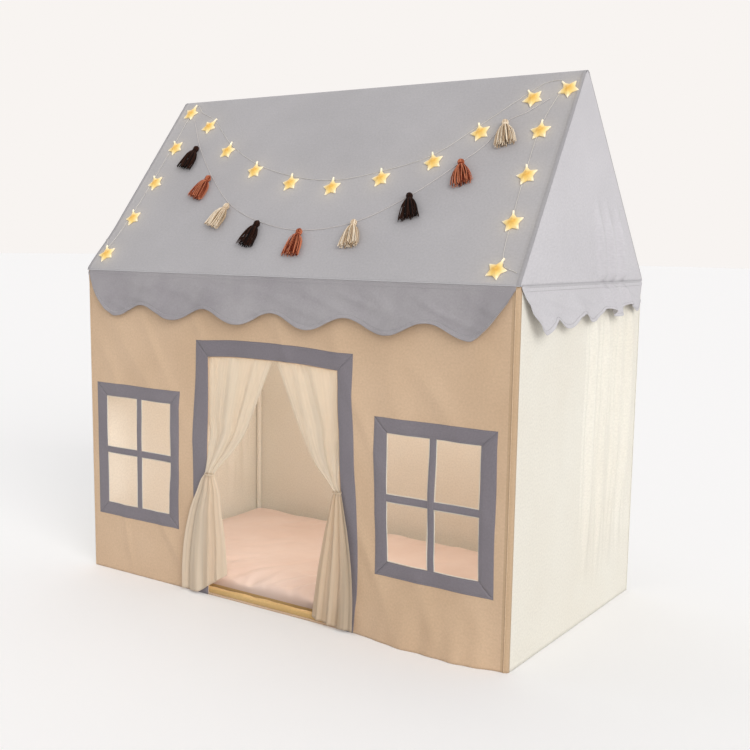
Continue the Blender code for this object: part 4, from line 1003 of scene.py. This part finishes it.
def smooth_route(points):
    """Points of a smooth curve through the chosen ones; short spans keep their ends alone."""
    padded = [2 * points[0] - points[1]] + points + [2 * points[-1] - points[-2]]
    route = []
    for a, b, c, d in zip(padded, padded[1:], padded[2:], padded[3:]):
        cuts = max(1, round((c - b).length / ROUTE_STEP))
        for t in [cut / cuts for cut in range(cuts)]:
            route.append(0.5 * (2 * b + (c - a) * t + (2 * a - 5 * b + 4 * c - d) * t * t
                                + (3 * b - a - 3 * c + d) * t ** 3))
    return route + [points[-1]]


def gable_place(y):
    """A point of the wire on the left gable, at the battery case's height."""
    z = EAVE_HEIGHT + CASE_ABOVE_EAVE
    return Vector((-half_length(z) - wire_lift, y, z))


def on_slope(right, up):
    """A direction in the front slope."""
    return Vector((right, 0, 0)) + up * ROOF_UP


def star_tip(star):
    """Where a star holds the wire, towards its upper tip."""
    angle = radians(star[2])
    tip = on_slope(sin(angle), cos(angle))
    return roof_place(*star[:2], wire_lift) + STAR_HOLD * tip


wire_lift = GAP + WIRE_RADIUS
case_end = -CASE_FROM_MIDDLE - CASE_LENGTH / 2 - GAP
over_edge = roof_place(-1.0, CASE_ABOVE_EAVE / (RIDGE_Z - EAVE_HEIGHT), 0.0)
bend = 8 * WIRE_RADIUS
wire_route = [gable_place(case_end), gable_place(case_end - 2 * bend),
              gable_place(over_edge.y + 2 * bend),
              over_edge + 2 * WIRE_RADIUS * (ROOF_OUT + Vector((-1, 0, 0))),
              over_edge + Vector((bend, 0, 0)) + wire_lift * ROOF_OUT]
for run, after in ((LEFT_RAKE_STARS, WIRE_TURN_LEFT), (SWAG_STARS, WIRE_TURN_RIGHT),
                   (RIGHT_RAKE_STARS, WIRE_END)):
    wire_route += [star_tip(star) for star in run] + [roof_place(*after, wire_lift)]

# Clear PVC over tinned copper: a pale wire with a soft shine.
clear_wire = plastic("clear_pvc_wire", "#D3CFC9", 0.35, 0.0008)
wire = round_cord("light_wire", smooth_route(wire_route), WIRE_RADIUS, clear_wire, "light_wire")
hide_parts("light_string")


def lit_star(name):
    """Frosted polypropylene lit from inside: deep yellow low down, nearly white at the tips."""
    finish, add, shader = start_finish(name, "#FFD96B", 0.4)
    place = add("TexCoord", "UV")
    radius = add("VectorMath", "Value", {0: place}, operation="LENGTH")
    cloud = add("TexNoise", "Fac", Vector=place, Scale=90.0, Detail=1.0)
    drifted = add("Math", "Value", {0: cloud, 1: 0.012, 2: radius}, operation="MULTIPLY_ADD")
    share = add("MapRange", "Result", Value=drifted, From_Min=0.004, From_Max=STAR_RADIUS + 0.004)
    shown = add("ValToRGB", "Color", Fac=share)
    ramp = shown.node.color_ramp.elements
    ramp[0].color, ramp[1].color = linear("#E6B650"), linear("#FFF2D2")
    for position, colour in ((0.28, "#DDAA4A"), (0.52, "#EDC976"), (0.75, "#F2D89C")):
        ramp.new(position).color = linear(colour)
    feed(shader, {"Base Color": shown, "Emission Color": shown, "Emission Strength": 0.14})
    return finish


star_glow = lit_star("frosted_star_plastic")
for number, (across, up, turn) in enumerate(STARS, start=1):
    turn = radians(turn)
    bm = bmesh.new()
    ring = bmesh.ops.create_circle(bm, cap_ends=True, segments=10, radius=STAR_RADIUS)["verts"]
    for vert in ring:
        if round(atan2(vert.co.x, vert.co.y) / radians(36)) % 2:
            vert.co *= STAR_NOTCH
    pulled = bmesh.ops.extrude_face_region(bm, geom=bm.faces[:])["geom"]
    raised = [item for item in pulled if isinstance(item, bmesh.types.BMVert)]
    bmesh.ops.translate(bm, vec=(0, 0, STAR_EDGE), verts=raised)
    front = [item for item in pulled if isinstance(item, bmesh.types.BMFace)]
    bmesh.ops.recalc_face_normals(bm, faces=bm.faces)
    bmesh.ops.poke(bm, faces=front, offset=STAR_PEAK)
    bmesh.ops.bevel(bm, geom=bm.edges[:], offset=STAR_BEVEL, segments=2, profile=0.5,
                    affect="EDGES", material=-1)
    upright = Matrix.Rotation(radians(-90), 4, "X")
    bmesh.ops.create_cone(bm, cap_ends=True, segments=12, radius1=HOOK_FOOT, radius2=HOOK_TIP,
                          depth=HOOK_LENGTH,
                          matrix=Matrix.Translation((0, STAR_RADIUS, HOOK_RISE)) @ upright)
    local = bm.loops.layers.uv.new("from_middle")
    for face in bm.faces:
        for loop in face.loops:
            loop[local].uv = loop.vert.co.xy
    axes = Matrix((on_slope(cos(turn), -sin(turn)),
                   on_slope(sin(turn), cos(turn)), ROOF_OUT)).transposed().to_4x4()
    bmesh.ops.transform(bm, matrix=Matrix.Translation(roof_place(across, up, GAP)) @ axes,
                        verts=bm.verts)
    new_piece(f"star_{number}", bm, [star_glow])
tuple(wire_route[0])

# The battery case and its lid are moulded ABS with a fine spark-eroded grain; the switch knob
# is black acetal.
case_abs = plastic("moulded_abs_case", "#E9E7E2", 0.4, 0.0005, 0.25)
black_acetal = plastic("black_acetal_knob", "#3A3A3C", 0.45, 0.0005)
for node_name, finish in (("battery_case", case_abs), ("battery_lid", case_abs),
                          ("light_switch", black_acetal)):
    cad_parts[node_name].material_slots[0].material = finish


# Tassel garland. A cotton cord slung across the slope, with nine yarn tassels looped on it in
# dark brown, rust and cream; each is a bundle of strands bound under its head.
GARLAND_RADIUS = 0.00075
GARLAND_START, GARLAND_END = (-0.879, 0.870), (0.889, 0.856)
GARLAND_BEND_BELOW, GARLAND_BEND_ABOVE = (0.688, 0.642), (0.815, 0.795)
TASSELS = [(-0.750, 0.696, -11, "dark"), (-0.583, 0.517, -14, "rust"),
           (-0.396, 0.356, -18, "cream"), (-0.193, 0.263, -7, "dark"),
           (0.032, 0.222, 1, "rust"), (0.263, 0.268, 9, "cream"),
           (0.455, 0.398, 19, "dark"), (0.617, 0.560, 21, "rust"),
           (0.742, 0.751, 18, "cream")]
TASSEL_DROP, TASSEL_LENGTH, TASSEL_HEAD = 0.0035, 0.081, 0.0083
TASSEL_NECK, TASSEL_HEM, TASSEL_FLAT = 0.0062, 0.0275, 0.34
STRAND, BINDING_PITCH = 0.00085, 0.0012

# Three-ply cotton cord and yarns; the plies turn about every 1.6 mm.
cotton_cord = spun_yarn("natural_cotton_cord", "#DCD7D4", "#CEC8C4", 0.0016)
yarns = {name: [spun_yarn(f"{name}_yarn_{which}", tone, tone, 0.0018)
                for which, tone in zip(("light", "deep"), tones)]
         for name, tones in {"dark": ("#351C12", "#0B0504"), "rust": ("#CB7C5A", "#74301C"),
                             "cream": ("#F0E0C9", "#C3A98A")}.items()}

garland_shares = [GARLAND_START] + [tassel[:2] for tassel in TASSELS[:-1]]
garland_shares += [GARLAND_BEND_BELOW, TASSELS[-1][:2], GARLAND_BEND_ABOVE, GARLAND_END]
garland_route = [roof_place(across, up, GAP + GARLAND_RADIUS) for across, up in garland_shares]
garland = round_cord("garland_cord_line", smooth_route(garland_route), GARLAND_RADIUS,
                     cotton_cord, "garland_twine")
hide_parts("garland_cord")
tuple(garland_route[0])


def strand_lines(luck):
    """Local (side, out, down) lines of a tassel's strands: over the head, then down the skirt."""
    neck = TASSEL_DROP + 2 * TASSEL_HEAD
    ball = [(TASSEL_DROP + TASSEL_HEAD * (1 - cos(a)), (TASSEL_HEAD - STRAND) * sin(a))
            for a in (0.12, 0.55, 1.0, 1.45, 1.9, 2.25)]
    lines = []
    for ring, (count, fullness) in enumerate(((38, 1.0), (24, 0.66), (12, 0.30))):
        for number in range(count):
            angle = 2 * pi * (number + 0.5 * ring + luck.uniform(-0.35, 0.35)) / count
            line = [(radius * cos(angle), radius * sin(angle), down)
                    for down, radius in ball if ring == 0]
            spread = fullness * luck.uniform(0.80, 1.0)
            length = (TASSEL_LENGTH - neck) * luck.uniform(0.86, 1.0)
            curl, turn = luck.uniform(-0.0024, 0.0024), luck.uniform(2.0, 5.0)
            for share, flare in ((0, 0), (0.12, 0.32), (0.32, 0.62), (0.58, 0.83), (0.82, 0.95),
                                 (1, 1)):
                radius = between((TASSEL_NECK - STRAND) * fullness, TASSEL_HEM * spread, flare)
                flat = between(1.0, TASSEL_FLAT, sqrt(share))
                line.append((radius * cos(angle) + curl * sin(turn * share),
                             radius * sin(angle) * flat, neck + length * share))
            lines.append(line)
    reach = TASSEL_NECK + 0.0004
    for turn in range(5):
        height = neck - 0.0022 + turn * BINDING_PITCH
        lines.append([(reach * cos(a), reach * sin(a),
                       height + BINDING_PITCH * a / (2 * pi))
                      for a in spaced(0, 2 * pi, 14)])
    lines.append([(0.0006 * cos(a), 0.0, TASSEL_DROP + 0.0030 * -cos(a))
                  for a in (0.5, 1.2, 2.0, 2.7)])
    return lines


for number, (across, up, lean, yarn) in enumerate(TASSELS, start=1):
    lean = radians(lean)
    down = on_slope(sin(lean), -cos(lean))
    axes = Matrix((down.cross(ROOF_OUT), ROOF_OUT, down)).transposed()
    top = roof_place(across, up, 2 * GARLAND_RADIUS + 2 * GAP + TASSEL_HEAD)
    luck = random.Random(number)
    routes = [[top + axes @ Vector(at) for at in line] for line in strand_lines(luck)]
    bundle = drawn_line(f"tassel_{number}_strands", routes, STRAND, 1, yarns[yarn])
    for spline in bundle.splines:
        spline.material_index = int(luck.random() > 0.55)
    holder = put(f"strands_{number}", bundle)
    depsgraph = bpy.context.evaluated_depsgraph_get()
    strands = bmesh.new()
    strands.from_mesh(bpy.data.meshes.new_from_object(holder.evaluated_get(depsgraph)))
    bpy.data.objects.remove(holder, do_unlink=True)
    new_piece(f"tassel_{number}_yarn", strands, yarns[yarn],
              [f"tassel_{number}"], f"hanging_tassel_{number}")


# The photographed set: a plain pale floor that runs out to a backdrop of the same white, soft
# light from the right, and the camera where the photograph was taken.
floor_bm = bmesh.new()
bmesh.ops.create_grid(floor_bm, x_segments=1, y_segments=1, size=60.0)
floor = put("studio_floor", bpy.data.meshes.new("studio_floor"))
floor_bm.to_mesh(floor.data)
floor_bm.free()
paper, add, shader = start_finish("white_paper_floor", "#F3F2F2", 1.0, specular=0.0)
lifted = add("Math", "Value", {0: add("LightPath", "Is Camera Ray"), 1: 0.11},
             operation="MULTIPLY")
feed(shader, {"Emission Color": linear("#F8F4F1"), "Emission Strength": lifted})
floor.data.materials.append(paper)

world = bpy.context.scene.world = bpy.data.worlds.new("studio")
world.use_nodes = True
add = partial(add_node, world.node_tree)
seen = add("LightPath", "Is Camera Ray")
either = add("Math", "Value", {0: seen, 1: seen.node.outputs["Is Glossy Ray"]},
             operation="MAXIMUM")
height = add("SeparateXYZ", "Z", Vector=add("TexCoord", "Generated"))
dome = add("MapRange", "Result", Value=height, To_Min=0.37, To_Max=0.70)
shown = add("Mix", 2, {0: either, 6: dome, 7: linear("#F8F4F1")}, data_type="RGBA")
feed(world.node_tree.nodes["Background"], {"Color": shown})


def add_lamp(name, kind, energy, **settings):
    """A lamp of a kind with its settings, as an object in the scene."""
    lamp = bpy.data.lights.new(name, kind)
    lamp.energy = energy
    for setting, value in settings.items():
        setattr(lamp, setting, value)
    return put(name, lamp)


for name, towards, strength, softness in (
        ("key_softbox", (0.78, -0.50, 0.36), 1.70, 40),
        ("rear_left_softbox", (-0.62, 0.25, 0.74), 0.60, 70)):
    softbox = add_lamp(name, "SUN", strength, angle=radians(softness))
    softbox.rotation_mode = "QUATERNION"
    softbox.rotation_quaternion = Vector(towards).to_track_quat("Z", "Y")

# A lamp for the light that the cloth lets in; it doesn't light the floor by the door.
inside = add_lamp("light_through_the_cloth", "AREA", 5.0, shape="RECTANGLE", size=0.9,
                  size_y=0.5, color=linear("#FFF3E8")[:3])
inside.location = (0.04, 0, 0.86)
inside.visible_camera = False
not_lit_inside = bpy.data.collections.new("not_lit_from_inside")
not_lit_inside.objects.link(floor)
not_lit_inside.collection_objects[0].light_linking.link_state = "EXCLUDE"
inside.light_linking.receiver_collection = not_lit_inside

# The warm glow that each lit star throws on the roof round it, and on nothing else.
BULB_POWER, BULB_SOFTNESS, BULB_LIFT = 0.0125, 0.010, 0.019
lit_by_stars = bpy.data.collections.new("lit_by_stars")
lit_by_stars.objects.link(bpy.data.objects["roof_cloth"])
for number, star in enumerate(STARS, start=1):
    bulb = add_lamp(f"star_glow_{number}", "POINT", BULB_POWER, shadow_soft_size=BULB_SOFTNESS,
                    color=linear("#FFE79A")[:3])
    bulb.location = roof_place(*star[:2], BULB_LIFT)
    bulb.visible_camera = bulb.visible_glossy = False
    bulb.light_linking.receiver_collection = lit_by_stars

lens = bpy.data.cameras.new("photo_camera")
lens.lens, lens.sensor_width, lens.clip_end = 50.46, 36.0, 200.0
camera = bpy.context.scene.camera = put("photo_camera", lens)
camera.matrix_world = Matrix(((0.82769648, -0.08237125, 0.55509776, 1.61499),
                              (0.56091155, 0.09106913, -0.82285153, -2.31276),
                              (0.01722704, 0.99243206, 0.12158058, 0.90748),
                              (0.0, 0.0, 0.0, 1.0)))
bpy.context.scene.view_settings.view_transform = "Standard"
